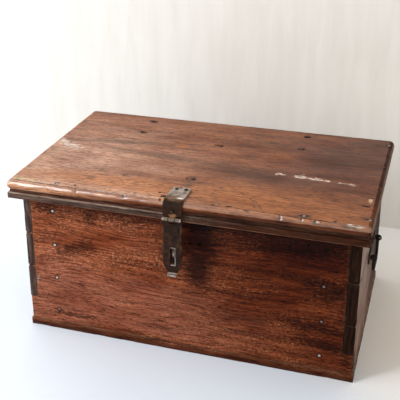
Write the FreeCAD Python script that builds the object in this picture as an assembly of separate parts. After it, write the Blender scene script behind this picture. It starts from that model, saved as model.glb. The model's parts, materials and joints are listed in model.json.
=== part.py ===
import FreeCAD, Part
import math
import os

# Old plank-built chest: dovetailed walls, a moulded lid on two strap hinges,
# a slotted iron hasp over a staple, and a drop handle on each end.
# Frame: origin at the middle of the base, +X right, +Y to the back, +Z up.
# All sizes are in millimetres.

# Walls and bottom
BOX_WIDTH = 450.0
BOX_DEPTH = 280.0
RIM_HEIGHT = 215.0
WALL_THICK = 15.0
LEFT_END_THICK = 10.5
RIGHT_END_THICK = 14.0
BOTTOM_THICK = 11.0
BOTTOM_PROUD = 1.5
PIN_SETBACK = 1.0

# Dovetails, cut by eye on the end boards, with pins at other heights above the bottom board on each end
PIN_WIDTH = 3.0
TAIL_FLARE = 2.4
LEFT_LOW_PIN_HEIGHT = 35.5
LEFT_PIN_HEIGHTS = (84.0, 135.0)
RIGHT_LOW_PIN_HEIGHT = 30.0
RIGHT_PIN_HEIGHTS = (73.5, 133.5)
TOP_PIN_HEIGHT = 17.0

# Blocks inside the corners
BLOCK_WIDTH = 40.0
BLOCK_DEPTH = 18.0
BLOCK_DROP = 15.0

# Lid board
LID_THICK = 17.0
NOSE_HEIGHT = 12.0
NOSE_TOP_ROUND = 7.0
NOSE_FOOT_ROUND = 4.0
QUIRK_SETBACK = 4.5
LID_CORNER_ROUND = 8.0
LID_FRONT_OVERHANG = 24.0
LID_SIDE_OVERHANG = 11.5
LID_BACK_SETBACK = 8.0

# Lip mouldings under the lid
MOULDING_HEIGHT = 9.0
MOULDING_SETBACK = 2.0
MOULDING_GAP = 0.8
MOULDING_ROUND = 2.0

# Nails of the carcass and the mouldings
WALL_NAIL_INSET = 43.0
WALL_NAILS_PER_COLUMN = 4
WALL_NAIL_FOOT = 32.0
WALL_NAIL_RIM_DROP = 31.0
WALL_NAIL_LENGTH = 28.0
WALL_NAIL_HEAD_RADIUS = 1.8
WALL_NAIL_SHANK_RADIUS = 1.0
BOTTOM_NAIL_LENGTH = 34.0
BOTTOM_NAILS_PER_WALL = 5
BOTTOM_WALL_NAIL_INSET = 35.0
BOTTOM_NAILS_PER_END = 2
BOTTOM_END_NAIL_SPACING = 95.0
MOULDING_NAIL_LENGTH = 24.0
FRONT_MOULDING_NAIL_X = (-166.0, -59.0, 48.0, 155.0)
SIDE_MOULDING_NAILS = 4
SIDE_MOULDING_NAIL_INSET = 24.0
NAIL_HEAD_THICK = 1.0

# Strap hinges
LEFT_HINGE_X = -126.0
RIGHT_HINGE_X = 110.0
HINGE_WIDTH = 22.0
HINGE_THICK = 2.5
HINGE_REACH = 110.0
HINGE_LEAF_DROP = 62.0
HINGE_KNUCKLE_RADIUS = 4.5
HINGE_TONGUE_WIDTH = 7.4
HINGE_PIN_RADIUS = 1.9
HINGE_STANDOFF = 0.4
HINGE_NOTCH_CLEARANCE = 0.5
HINGE_NAIL_INSETS = (33.0, 83.0)
HINGE_LEAF_NAIL_DROPS = (18.0, 48.0)
HINGE_NAIL_HEAD_RADIUS = 3.2
HINGE_NAIL_HEAD_THICK = 1.4
HINGE_NAIL_SHANK_RADIUS = 1.5
HINGE_LEAF_NAIL_LENGTH = 14.0
CLENCH_LENGTH = 8.0
CLENCH_WIDTH = 2.6
CLENCH_SINK = 0.8
CLENCH_PROUD = 0.4

# Hasp: strap on the lid, hanging slotted plate
HASP_X = -5.0
HASP_WIDTH = 24.5
HASP_THICK = 2.5
HASP_REACH = 43.0
HASP_STANDOFF = 0.4
HASP_END_CORNER = 4.0
HASP_AXIS_DROP = 22.0
HASP_KNUCKLE_RADIUS = 3.1
HASP_TONGUE_WIDTH = 8.4
HASP_PIN_RADIUS = 1.4
HASP_SHOULDER = 5.5
HASP_LENGTH = 78.0
HASP_FOOT_WIDTH = 12.6
HASP_FOOT_RISE = 15.0
HASP_LIP_ROUND = 1.5
HASP_LIP_RUN = 2.2
SLOT_WIDTH = 6.5
SLOT_HEIGHT = 23.5
SLOT_TOP_DROP = 39.5
HASP_TOP_NAIL_INSET = 6.5
HASP_TOP_NAIL_SPACING = 12.4
HASP_FACE_NAIL_DROP = 10.0
HASP_NAIL_HEAD_RADIUS = 2.3
HASP_NAIL_HEAD_THICK = 1.1
HASP_NAIL_SHANK_RADIUS = 1.3
HASP_NAIL_LENGTH = 13.0

# Hasp staple in the front board
STAPLE_WIRE_RADIUS = 2.0
STAPLE_SPREAD = 12.0
STAPLE_CROWN_ROUND = 5.5
STAPLE_BEND_ROUND = 3.0
STAPLE_CLENCH = 9.0
STAPLE_RISE = 1.5
STAPLE_CLEARANCE = 1.5

# Drop handles on the end boards
HANDLE_HEIGHT = 124.0
HANDLE_SPAN = 60.0
HANDLE_PLATE_LENGTH = 76.0
HANDLE_PLATE_HEIGHT = 14.0
HANDLE_PLATE_THICK = 1.8
EYE_WIRE_RADIUS = 1.2
EYE_CLENCH_LENGTH = 18.0
EYE_CLENCH_THICK = 1.6
BAIL_ROD_RADIUS = 2.0
BAIL_EYE_CLEARANCE = 0.3
BAIL_ARM_INSET = 8.0
BAIL_END_PROUD = 6.0
BAIL_DROP = 26.0
BAIL_TOP_ROUND = 4.5
BAIL_FOOT_ROUND = 10.0

# Running clearances
PIN_CLEARANCE = 0.06
KNUCKLE_GAP = 0.3

# Places worked out from the sizes above
Vector = FreeCAD.Vector
AHEAD = Vector(0, 1, 0)
UP = Vector(0, 0, 1)
TINY = 1e-6
HALF_WIDTH = BOX_WIDTH / 2
HALF_DEPTH = BOX_DEPTH / 2
END_THICK = {-1: LEFT_END_THICK, 1: RIGHT_END_THICK}
INNER_X = {side: HALF_WIDTH - thick for side, thick in END_THICK.items()}
LOW_PIN_HEIGHT = {-1: LEFT_LOW_PIN_HEIGHT, 1: RIGHT_LOW_PIN_HEIGHT}
PIN_HEIGHTS = {-1: LEFT_PIN_HEIGHTS, 1: RIGHT_PIN_HEIGHTS}
INNER_Y = HALF_DEPTH - WALL_THICK
WALL_SPAN_Z = (BOTTOM_THICK, RIM_HEIGHT)
LID_TOP = RIM_HEIGHT + LID_THICK
NOSE_FOOT = LID_TOP - NOSE_HEIGHT
NOSE_X = HALF_WIDTH + LID_SIDE_OVERHANG
NOSE_FRONT = -HALF_DEPTH - LID_FRONT_OVERHANG
NOSE_BACK = HALF_DEPTH - LID_BACK_SETBACK
MOULDING_X = NOSE_X - MOULDING_SETBACK
MOULDING_FRONT = NOSE_FRONT + MOULDING_SETBACK
MOULDING_BACK = -HALF_DEPTH - MOULDING_GAP
MOULDING_SPAN_Z = (RIM_HEIGHT - MOULDING_HEIGHT, RIM_HEIGHT)
HINGE_AXIS_Y = HALF_DEPTH + HINGE_STANDOFF + HINGE_KNUCKLE_RADIUS
HINGE_AXIS_Z = RIM_HEIGHT - HINGE_KNUCKLE_RADIUS
HASP_INNER_Y = NOSE_FRONT - HASP_STANDOFF
HASP_OUTER_Y = HASP_INNER_Y - HASP_THICK
HASP_AXIS_Y = HASP_INNER_Y - HASP_KNUCKLE_RADIUS
HASP_AXIS_Z = LID_TOP - HASP_AXIS_DROP
HASP_FOOT_Z = HASP_AXIS_Z - HASP_LENGTH
SLOT_TOP_Z = HASP_AXIS_Z - SLOT_TOP_DROP
STAPLE_Z = SLOT_TOP_Z - SLOT_HEIGHT / 2 + STAPLE_RISE
EYE_INNER_RADIUS = BAIL_ROD_RADIUS + BAIL_EYE_CLEARANCE
EYE_OUTER_RADIUS = EYE_INNER_RADIUS + 2 * EYE_WIRE_RADIUS
HANDLE_PLATE_X = HALF_WIDTH + HANDLE_PLATE_THICK
HANDLE_AXIS_X = HANDLE_PLATE_X + EYE_OUTER_RADIUS


def block(x_span, y_span, z_span):
    """Box between three (low, high) spans."""
    corner = Vector(x_span[0], y_span[0], z_span[0])
    lengths = [span[1] - span[0] for span in (x_span, y_span, z_span)]
    return Part.makeBox(*lengths, corner)


def around(middle, width):
    """Span of the given width about a middle."""
    return (middle - width / 2, middle + width / 2)


def side_span(side, inner, outer):
    """Span from inner to outer on the left (-1) or right (+1), low value first."""
    return tuple(sorted((side * inner, side * outer)))


def rod(radius, start, end):
    """Cylinder from one point to another."""
    run = end - start
    return Part.makeCylinder(radius, run.Length, start, run)


def rod_along_x(radius, x_span, y, z):
    """Cylinder along X at one place."""
    return rod(radius, Vector(x_span[0], y, z), Vector(x_span[1], y, z))


def face_along_x(edges, x_span):
    """Closed outline in a plane of constant X, pushed along X."""
    face = Part.Face(Part.Wire(edges))
    return face.extrude(Vector(x_span[1] - x_span[0], 0, 0))


def polygon_along_x(outline, x_span):
    """Solid whose section is a polygon of (y, z) points."""
    points = [Vector(x_span[0], y, z) for y, z in outline]
    edges = Part.makePolygon(points + points[:1]).Edges
    return face_along_x(edges, x_span)


def joined(solids):
    """One clean solid from solids that meet or overlap."""
    return solids[0].fuse(solids[1:]).removeSplitter()


def edges_level_with(shape, z):
    """Edges that lie wholly at one height."""
    return [edge for edge in shape.Edges
            if abs(edge.BoundBox.ZMin - z) < TINY and abs(edge.BoundBox.ZMax - z) < TINY]


def upright_edges(shape):
    """Edges that run straight up."""
    return [edge for edge in shape.Edges
            if edge.BoundBox.XLength < TINY and edge.BoundBox.YLength < TINY]


def rounded_path(points, radii):
    """Wire through points, with an arc of the given radius at each inner point."""
    edges = []
    start = points[0]
    for index, radius in enumerate(radii, start=1):
        corner = points[index]
        before = (points[index - 1] - corner).normalize()
        after = (points[index + 1] - corner).normalize()
        half_angle = before.getAngle(after) / 2
        trim = radius / math.tan(half_angle)
        middle = (before + after).normalize()
        arc_start = corner + before * trim
        arc_end = corner + after * trim
        arc_middle = corner + middle * (radius / math.sin(half_angle) - radius)
        edges.append(Part.LineSegment(start, arc_start).toShape())
        edges.append(Part.Arc(arc_start, arc_middle, arc_end).toShape())
        start = arc_end
    edges.append(Part.LineSegment(start, points[-1]).toShape())
    return Part.Wire(edges)


def bent_rod(path, radius):
    """Round rod along a wire."""
    start = path.Edges[0].valueAt(path.Edges[0].FirstParameter)
    heading = path.Edges[0].tangentAt(path.Edges[0].FirstParameter)
    ring = Part.Wire(Part.makeCircle(radius, start, heading))
    return path.makePipeShell([ring], True, False)


def nail(head_point, direction, head, shank_radius, length):
    """Nail whose head's outer face is centred on a point, driven along a direction."""
    head_radius, head_thick = head
    seat = head_point + direction * head_thick
    head_solid = rod(head_radius, head_point, seat)
    shank = rod(shank_radius, head_point, head_point + direction * length)
    return head_solid.fuse(shank).removeSplitter()


def spaced(count, spacing, middle=0.0):
    """Evenly spaced places about a middle."""
    first = middle - spacing * (count - 1) / 2
    return [first + spacing * index for index in range(count)]


# Dovetailed walls


def tail_spans(x_side):
    """Heights of one end board's tails at their outer faces, from the lowest up."""
    pins = [around(BOTTOM_THICK + height, PIN_WIDTH) for height in PIN_HEIGHTS[x_side]]
    lows = [BOTTOM_THICK + LOW_PIN_HEIGHT[x_side]] + [high for low, high in pins]
    highs = [low for low, high in pins] + [RIM_HEIGHT - TOP_PIN_HEIGHT]
    return list(zip(lows, highs))


def tails(x_side, y_side):
    """Tails of one end board at its front (-1) or back (+1) corner."""
    x_span = side_span(x_side, INNER_X[x_side], HALF_WIDTH)
    solids = []
    for low, high in tail_spans(x_side):
        outline = [
            (y_side * HALF_DEPTH, low),
            (y_side * HALF_DEPTH, high),
            (y_side * INNER_Y, high - TAIL_FLARE),
            (y_side * INNER_Y, low + TAIL_FLARE),
        ]
        solids.append(polygon_along_x(outline, x_span))
    return solids


def end_board(x_side):
    """End board with its tails at both corners."""
    x_span = side_span(x_side, INNER_X[x_side], HALF_WIDTH)
    plank = block(x_span, (-INNER_Y, INNER_Y), WALL_SPAN_Z)
    return joined([plank] + tails(x_side, -1) + tails(x_side, 1))


def wall_board(y_side):
    """Front or back board, with sockets cut for the tails."""
    reach = HALF_WIDTH - PIN_SETBACK
    plank = block((-reach, reach), side_span(y_side, INNER_Y, HALF_DEPTH), WALL_SPAN_Z)
    return plank.cut(tails(-1, y_side) + tails(1, y_side))


def bottom_board():
    """Bottom board under the walls, a little proud at the ends."""
    reach = HALF_WIDTH + BOTTOM_PROUD
    return block((-reach, reach), (-HALF_DEPTH, HALF_DEPTH), (0, BOTTOM_THICK))


def corner_block(x_side, y_side):
    """Block in an inside corner that the wall nails run into."""
    x_span = side_span(x_side, INNER_X[x_side] - BLOCK_WIDTH, INNER_X[x_side])
    y_span = side_span(y_side, INNER_Y - BLOCK_DEPTH, INNER_Y)
    return block(x_span, y_span, (BOTTOM_THICK, RIM_HEIGHT - BLOCK_DROP))


def wall_nail_heights():
    """Heights of one column of wall nails, evenly spaced from the foot to the rim."""
    top = RIM_HEIGHT - WALL_NAIL_RIM_DROP
    spacing = (top - WALL_NAIL_FOOT) / (WALL_NAILS_PER_COLUMN - 1)
    return spaced(WALL_NAILS_PER_COLUMN, spacing, (WALL_NAIL_FOOT + top) / 2)


def wall_nails(y_side, left_heights, right_heights):
    """Two columns of nails through the front or back board into the corner blocks."""
    head = (WALL_NAIL_HEAD_RADIUS, NAIL_HEAD_THICK)
    reach = HALF_WIDTH - WALL_NAIL_INSET
    places = [(-reach, height) for height in left_heights]
    places += [(reach, height) for height in right_heights]
    return [nail(Vector(x, y_side * HALF_DEPTH, z), AHEAD * -y_side, head,
                 WALL_NAIL_SHANK_RADIUS, WALL_NAIL_LENGTH) for x, z in places]


def bottom_nails():
    """Nails up through the bottom board into the four walls, heads flush."""
    head = (WALL_NAIL_HEAD_RADIUS, NAIL_HEAD_THICK)
    wall_y = HALF_DEPTH - WALL_THICK / 2
    wall_run = BOX_WIDTH - 2 * BOTTOM_WALL_NAIL_INSET
    along = spaced(BOTTOM_NAILS_PER_WALL, wall_run / (BOTTOM_NAILS_PER_WALL - 1))
    across = spaced(BOTTOM_NAILS_PER_END, BOTTOM_END_NAIL_SPACING)
    places = [(x, side * wall_y) for side in (-1, 1) for x in along]
    places += [(side * (HALF_WIDTH - thick / 2), y) for side, thick in END_THICK.items() for y in across]
    return [nail(Vector(x, y, 0), UP, head, WALL_NAIL_SHANK_RADIUS, BOTTOM_NAIL_LENGTH)
            for x, y in places]


# Lid


def lid_board():
    """One wide board: rounded nose above, set-back quirk below."""
    nose = block((-NOSE_X, NOSE_X), (NOSE_FRONT, NOSE_BACK), (NOSE_FOOT, LID_TOP))
    nose = nose.makeFillet(LID_CORNER_ROUND, upright_edges(nose))
    nose = nose.makeFillet(NOSE_TOP_ROUND, edges_level_with(nose, LID_TOP))
    nose = nose.makeFillet(NOSE_FOOT_ROUND, edges_level_with(nose, NOSE_FOOT))
    quirk_x = NOSE_X - QUIRK_SETBACK
    quirk_y = (NOSE_FRONT + QUIRK_SETBACK, NOSE_BACK - QUIRK_SETBACK)
    quirk = block((-quirk_x, quirk_x), quirk_y, (RIM_HEIGHT, NOSE_FOOT))
    return joined([nose, quirk])


def front_moulding():
    """Lip moulding under the front of the lid, its outer edges eased."""
    strip = block((-MOULDING_X, MOULDING_X), (MOULDING_FRONT, MOULDING_BACK), MOULDING_SPAN_Z)
    outer = [edge for edge in strip.Edges
             if abs(edge.BoundBox.YMax - MOULDING_FRONT) < TINY and edge.BoundBox.ZLength < TINY]
    return strip.makeFillet(MOULDING_ROUND, outer)


def side_moulding(x_side):
    """Lip moulding under one end of the lid, butted behind the front one."""
    x_span = side_span(x_side, HALF_WIDTH + MOULDING_GAP, MOULDING_X)
    strip = block(x_span, (MOULDING_BACK, NOSE_BACK - QUIRK_SETBACK), MOULDING_SPAN_Z)
    outer = [edge for edge in strip.Edges
             if abs(edge.CenterOfMass.x - x_side * MOULDING_X) < TINY and edge.BoundBox.ZLength < TINY]
    return strip.makeFillet(MOULDING_ROUND, outer)


def moulding_nails():
    """Nails down through the lid into the three mouldings, heads flush."""
    head = (WALL_NAIL_HEAD_RADIUS, NAIL_HEAD_THICK)
    front_y = (MOULDING_FRONT + MOULDING_BACK) / 2
    side_x = (HALF_WIDTH + MOULDING_GAP + MOULDING_X) / 2
    places = [(x, front_y) for x in FRONT_MOULDING_NAIL_X]
    first = NOSE_FRONT + SIDE_MOULDING_NAIL_INSET
    last = NOSE_BACK - SIDE_MOULDING_NAIL_INSET
    gaps = SIDE_MOULDING_NAILS - 1
    side_y = spaced(SIDE_MOULDING_NAILS, (last - first) / gaps, (first + last) / 2)
    places += [(side * side_x, y) for side in (-1, 1) for y in side_y]
    return [nail(Vector(x, y, LID_TOP), UP * -1, head, WALL_NAIL_SHANK_RADIUS, MOULDING_NAIL_LENGTH)
            for x, y in places]


# Strap hinges


def hinge_strap(x):
    """Lid half of a hinge: long strap under the lid, middle knuckle behind the back board."""
    z_span = (RIM_HEIGHT - HINGE_THICK, RIM_HEIGHT)
    shoulder = HALF_DEPTH - KNUCKLE_GAP
    tip_y = HALF_DEPTH - HINGE_REACH + HINGE_WIDTH / 2
    tongue_span = around(x, HINGE_TONGUE_WIDTH)
    flat = block(around(x, HINGE_WIDTH), (tip_y, shoulder), z_span)
    tip = rod(HINGE_WIDTH / 2, Vector(x, tip_y, z_span[0]), Vector(x, tip_y, z_span[1]))
    tongue = block(tongue_span, (shoulder, HINGE_AXIS_Y), z_span)
    knuckle = rod_along_x(HINGE_KNUCKLE_RADIUS, tongue_span, HINGE_AXIS_Y, HINGE_AXIS_Z)
    bore = rod_along_x(HINGE_PIN_RADIUS + PIN_CLEARANCE, tongue_span, HINGE_AXIS_Y, HINGE_AXIS_Z)
    return joined([flat, tip, tongue, knuckle]).cut(bore)


def hinge_leaf(x):
    """Fixed half of a hinge: leaf on the back board with a knuckle on each side of the strap's."""
    y_span = (HALF_DEPTH, HALF_DEPTH + HINGE_THICK)
    foot = HINGE_AXIS_Z - HINGE_LEAF_DROP
    neck = HINGE_AXIS_Z - HINGE_KNUCKLE_RADIUS - 2 * KNUCKLE_GAP
    x_low, x_high = around(x, HINGE_WIDTH)
    gap_low, gap_high = around(x, HINGE_TONGUE_WIDTH + 2 * KNUCKLE_GAP)
    solids = [block((x_low, x_high), y_span, (foot, neck))]
    for ear_span in ((x_low, gap_low), (gap_high, x_high)):
        solids.append(block(ear_span, y_span, (neck, HINGE_AXIS_Z)))
        solids.append(rod_along_x(HINGE_KNUCKLE_RADIUS, ear_span, HINGE_AXIS_Y, HINGE_AXIS_Z))
    return joined(solids).cut(hinge_pin(x))


def hinge_pin(x):
    """Pin held in the leaf's two knuckles."""
    return rod_along_x(HINGE_PIN_RADIUS, around(x, HINGE_WIDTH), HINGE_AXIS_Y, HINGE_AXIS_Z)


def hinge_strap_nails(x):
    """Nails up through the strap and lid, their points clenched over on the lid top."""
    head_z = RIM_HEIGHT - HINGE_THICK - HINGE_NAIL_HEAD_THICK
    head = (HINGE_NAIL_HEAD_RADIUS, HINGE_NAIL_HEAD_THICK)
    solids = []
    for inset in HINGE_NAIL_INSETS:
        y = HALF_DEPTH - inset
        spike = nail(Vector(x, y, head_z), UP, head, HINGE_NAIL_SHANK_RADIUS, LID_TOP - head_z)
        clench_span = (x - HINGE_NAIL_SHANK_RADIUS, x + CLENCH_LENGTH)
        clench_z = (LID_TOP - CLENCH_SINK, LID_TOP + CLENCH_PROUD)
        solids.append(joined([spike, block(clench_span, around(y, CLENCH_WIDTH), clench_z)]))
    return solids


def hinge_leaf_nails(x):
    """Nails through the leaf into the back board."""
    head = (HINGE_NAIL_HEAD_RADIUS, HINGE_NAIL_HEAD_THICK)
    head_y = HALF_DEPTH + HINGE_THICK + HINGE_NAIL_HEAD_THICK
    return [nail(Vector(x, head_y, HINGE_AXIS_Z - drop), AHEAD * -1, head,
                 HINGE_NAIL_SHANK_RADIUS, HINGE_LEAF_NAIL_LENGTH) for drop in HINGE_LEAF_NAIL_DROPS]


def hinge_notch(x):
    """Notch in the back board's rim that the strap passes through."""
    width = HINGE_WIDTH + 2 * HINGE_NOTCH_CLEARANCE
    floor = RIM_HEIGHT - HINGE_THICK - HINGE_NOTCH_CLEARANCE
    return block(around(x, width), (INNER_Y, HALF_DEPTH), (floor, RIM_HEIGHT))


# Hasp


def hasp_strap():
    """Strap bent over the lid's nose, with the middle knuckle at its foot."""
    bend = NOSE_TOP_ROUND + HASP_STANDOFF
    bend_y = HASP_INNER_Y + bend
    bend_z = LID_TOP - bend
    end_y = NOSE_FRONT + HASP_REACH
    shoulder = HASP_AXIS_Z + HASP_SHOULDER
    x_span = around(HASP_X, HASP_WIDTH)
    tongue_span = around(HASP_X, HASP_TONGUE_WIDTH)

    def point(y, z):
        return Vector(x_span[0], y, z)

    def arc(radius):
        slant = radius * math.sqrt(0.5)
        return (point(bend_y, bend_z + radius), point(bend_y - slant, bend_z + slant),
                point(bend_y - radius, bend_z))

    under = arc(bend)
    over = arc(bend + HASP_THICK)
    corners = [point(end_y, LID_TOP), point(end_y, LID_TOP + HASP_THICK),
               point(HASP_OUTER_Y, shoulder), point(HASP_INNER_Y, shoulder)]
    edges = [
        Part.LineSegment(corners[0], corners[1]).toShape(),
        Part.LineSegment(corners[1], over[0]).toShape(),
        Part.Arc(*over).toShape(),
        Part.LineSegment(over[2], corners[2]).toShape(),
        Part.LineSegment(corners[2], corners[3]).toShape(),
        Part.LineSegment(corners[3], under[2]).toShape(),
        Part.Arc(under[2], under[1], under[0]).toShape(),
        Part.LineSegment(under[0], corners[0]).toShape(),
    ]
    band = face_along_x(edges, x_span)
    end_edges = [edge for edge in upright_edges(band) if abs(edge.CenterOfMass.y - end_y) < TINY]
    band = band.makeChamfer(HASP_END_CORNER, end_edges)
    tongue = block(tongue_span, (HASP_OUTER_Y, HASP_INNER_Y), (HASP_AXIS_Z, shoulder))
    knuckle = rod_along_x(HASP_KNUCKLE_RADIUS, tongue_span, HASP_AXIS_Y, HASP_AXIS_Z)
    bore = rod_along_x(HASP_PIN_RADIUS, tongue_span, HASP_AXIS_Y, HASP_AXIS_Z)
    return joined([band, tongue, knuckle]).cut(bore)


def hasp_pin():
    """Pin held in the strap's knuckle."""
    return rod_along_x(HASP_PIN_RADIUS, around(HASP_X, HASP_WIDTH), HASP_AXIS_Y, HASP_AXIS_Z)


def hasp_foot_cut(x_side):
    """Wedge taken off one lower corner of the plate."""
    half_plate = HASP_WIDTH / 2
    half_foot = HASP_FOOT_WIDTH / 2
    beyond = half_plate + HASP_THICK
    rise = HASP_FOOT_Z + HASP_FOOT_RISE
    slope_foot = HASP_FOOT_Z + HASP_THICK + HASP_LIP_ROUND
    below = HASP_FOOT_Z - HASP_THICK
    depth = HASP_LENGTH / 2
    outline = [(half_plate, rise), (beyond, rise), (beyond, below),
               (half_foot, below), (half_foot, slope_foot)]
    points = [Vector(HASP_X + x_side * x, HASP_AXIS_Y - depth, z) for x, z in outline]
    face = Part.Face(Part.makePolygon(points + points[:1]))
    return face.extrude(AHEAD * 2 * depth)


def hasp_plate():
    """Hanging plate: outer knuckles, slot for the staple, narrowed foot with a turned-out lip."""
    x_span = around(HASP_X, HASP_WIDTH)
    neck = HASP_AXIS_Z - HASP_SHOULDER
    lip_z = HASP_FOOT_Z + HASP_THICK + HASP_LIP_ROUND
    lip_y = HASP_OUTER_Y - HASP_LIP_ROUND
    lip_end = lip_y - HASP_LIP_RUN

    def point(y, z):
        return Vector(x_span[0], y, z)

    def arc(radius):
        slant = radius * math.sqrt(0.5)
        return Part.Arc(point(lip_y + radius, lip_z), point(lip_y + slant, lip_z - slant),
                        point(lip_y, lip_z - radius)).toShape()

    tight = HASP_LIP_ROUND
    wide = HASP_LIP_ROUND + HASP_THICK
    edges = [
        Part.LineSegment(point(HASP_OUTER_Y, neck), point(HASP_INNER_Y, neck)).toShape(),
        Part.LineSegment(point(HASP_INNER_Y, neck), point(HASP_INNER_Y, lip_z)).toShape(),
        arc(wide),
        Part.LineSegment(point(lip_y, lip_z - wide), point(lip_end, lip_z - wide)).toShape(),
        Part.LineSegment(point(lip_end, lip_z - wide), point(lip_end, lip_z - tight)).toShape(),
        Part.LineSegment(point(lip_end, lip_z - tight), point(lip_y, lip_z - tight)).toShape(),
        arc(tight),
        Part.LineSegment(point(HASP_OUTER_Y, lip_z), point(HASP_OUTER_Y, neck)).toShape(),
    ]
    solids = [face_along_x(Part.sortEdges(edges)[0], x_span)]
    gap_low, gap_high = around(HASP_X, HASP_TONGUE_WIDTH + 2 * KNUCKLE_GAP)
    for ear_span in ((x_span[0], gap_low), (gap_high, x_span[1])):
        solids.append(block(ear_span, (HASP_OUTER_Y, HASP_INNER_Y), (neck, HASP_AXIS_Z)))
        solids.append(rod_along_x(HASP_KNUCKLE_RADIUS, ear_span, HASP_AXIS_Y, HASP_AXIS_Z))
    bore = rod_along_x(HASP_PIN_RADIUS + PIN_CLEARANCE, x_span, HASP_AXIS_Y, HASP_AXIS_Z)
    slot_z = (SLOT_TOP_Z - SLOT_HEIGHT, SLOT_TOP_Z)
    slot = block(around(HASP_X, SLOT_WIDTH), (HASP_OUTER_Y, HASP_INNER_Y), slot_z)
    return joined(solids).cut([bore, slot, hasp_foot_cut(-1), hasp_foot_cut(1)])


def hasp_strap_nails():
    """Two nails on the lid top and one through the strap's face into the nose."""
    head = (HASP_NAIL_HEAD_RADIUS, HASP_NAIL_HEAD_THICK)
    top_z = LID_TOP + HASP_THICK + HASP_NAIL_HEAD_THICK
    top_y = NOSE_FRONT + HASP_REACH - HASP_TOP_NAIL_INSET
    solids = [nail(Vector(x, top_y, top_z), UP * -1, head, HASP_NAIL_SHANK_RADIUS, HASP_NAIL_LENGTH)
              for x in spaced(2, HASP_TOP_NAIL_SPACING, HASP_X)]
    face_place = Vector(HASP_X, HASP_OUTER_Y - HASP_NAIL_HEAD_THICK, LID_TOP - HASP_FACE_NAIL_DROP)
    solids.append(nail(face_place, AHEAD, head, HASP_NAIL_SHANK_RADIUS, HASP_NAIL_LENGTH))
    return solids


def hasp_staple():
    """Wire staple in the front board, its crown just behind the hanging plate, clenched inside."""
    crown_y = HASP_INNER_Y + STAPLE_CLEARANCE + STAPLE_WIRE_RADIUS
    inside_y = -INNER_Y + STAPLE_WIRE_RADIUS
    half = STAPLE_SPREAD / 2
    outline = [
        (inside_y, half + STAPLE_CLENCH),
        (inside_y, half),
        (crown_y, half),
        (crown_y, -half),
        (inside_y, -half),
        (inside_y, -half - STAPLE_CLENCH),
    ]
    points = [Vector(HASP_X, y, STAPLE_Z + z) for y, z in outline]
    radii = [STAPLE_BEND_ROUND, STAPLE_CROWN_ROUND, STAPLE_CROWN_ROUND, STAPLE_BEND_ROUND]
    return bent_rod(rounded_path(points, radii), STAPLE_WIRE_RADIUS)


# Drop handles


def handle_plate(x_side):
    """Flat iron backing strip on an end board."""
    x_span = side_span(x_side, HALF_WIDTH, HANDLE_PLATE_X)
    z_span = around(HANDLE_HEIGHT, HANDLE_PLATE_HEIGHT)
    return block(x_span, around(0, HANDLE_PLATE_LENGTH), z_span)


def handle_eye(x_side, y_side):
    """Wire eye whose shank runs through the plate and board and is clenched inside."""
    y = y_side * HANDLE_SPAN / 2
    middle = Vector(x_side * HANDLE_AXIS_X, y, HANDLE_HEIGHT)
    ring = Part.makeTorus(EYE_INNER_RADIUS + EYE_WIRE_RADIUS, EYE_WIRE_RADIUS, middle, AHEAD)
    shank_end = HANDLE_AXIS_X - EYE_INNER_RADIUS - EYE_WIRE_RADIUS
    shank_y = around(y, 2 * EYE_WIRE_RADIUS)
    shank_z = around(HANDLE_HEIGHT, 2 * EYE_WIRE_RADIUS)
    clench_x = INNER_X[x_side] - EYE_CLENCH_THICK
    shank = block(side_span(x_side, clench_x, shank_end), shank_y, shank_z)
    clench_z = around(HANDLE_HEIGHT, EYE_CLENCH_LENGTH)
    clench = block(side_span(x_side, clench_x, INNER_X[x_side]), shank_y, clench_z)
    return joined([ring, shank, clench])


def handle_bail(x_side):
    """Drop handle: a rod bent into a U, its ends turned out through the eyes."""
    x = x_side * HANDLE_AXIS_X
    end = HANDLE_SPAN / 2 + BAIL_END_PROUD
    arm = HANDLE_SPAN / 2 - BAIL_ARM_INSET
    foot = HANDLE_HEIGHT - BAIL_DROP
    outline = [(-end, HANDLE_HEIGHT), (-arm, HANDLE_HEIGHT), (-arm, foot),
               (arm, foot), (arm, HANDLE_HEIGHT), (end, HANDLE_HEIGHT)]
    points = [Vector(x, y, z) for y, z in outline]
    radii = [BAIL_TOP_ROUND, BAIL_FOOT_ROUND, BAIL_FOOT_ROUND, BAIL_TOP_ROUND]
    return bent_rod(rounded_path(points, radii), BAIL_ROD_RADIUS)


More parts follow.
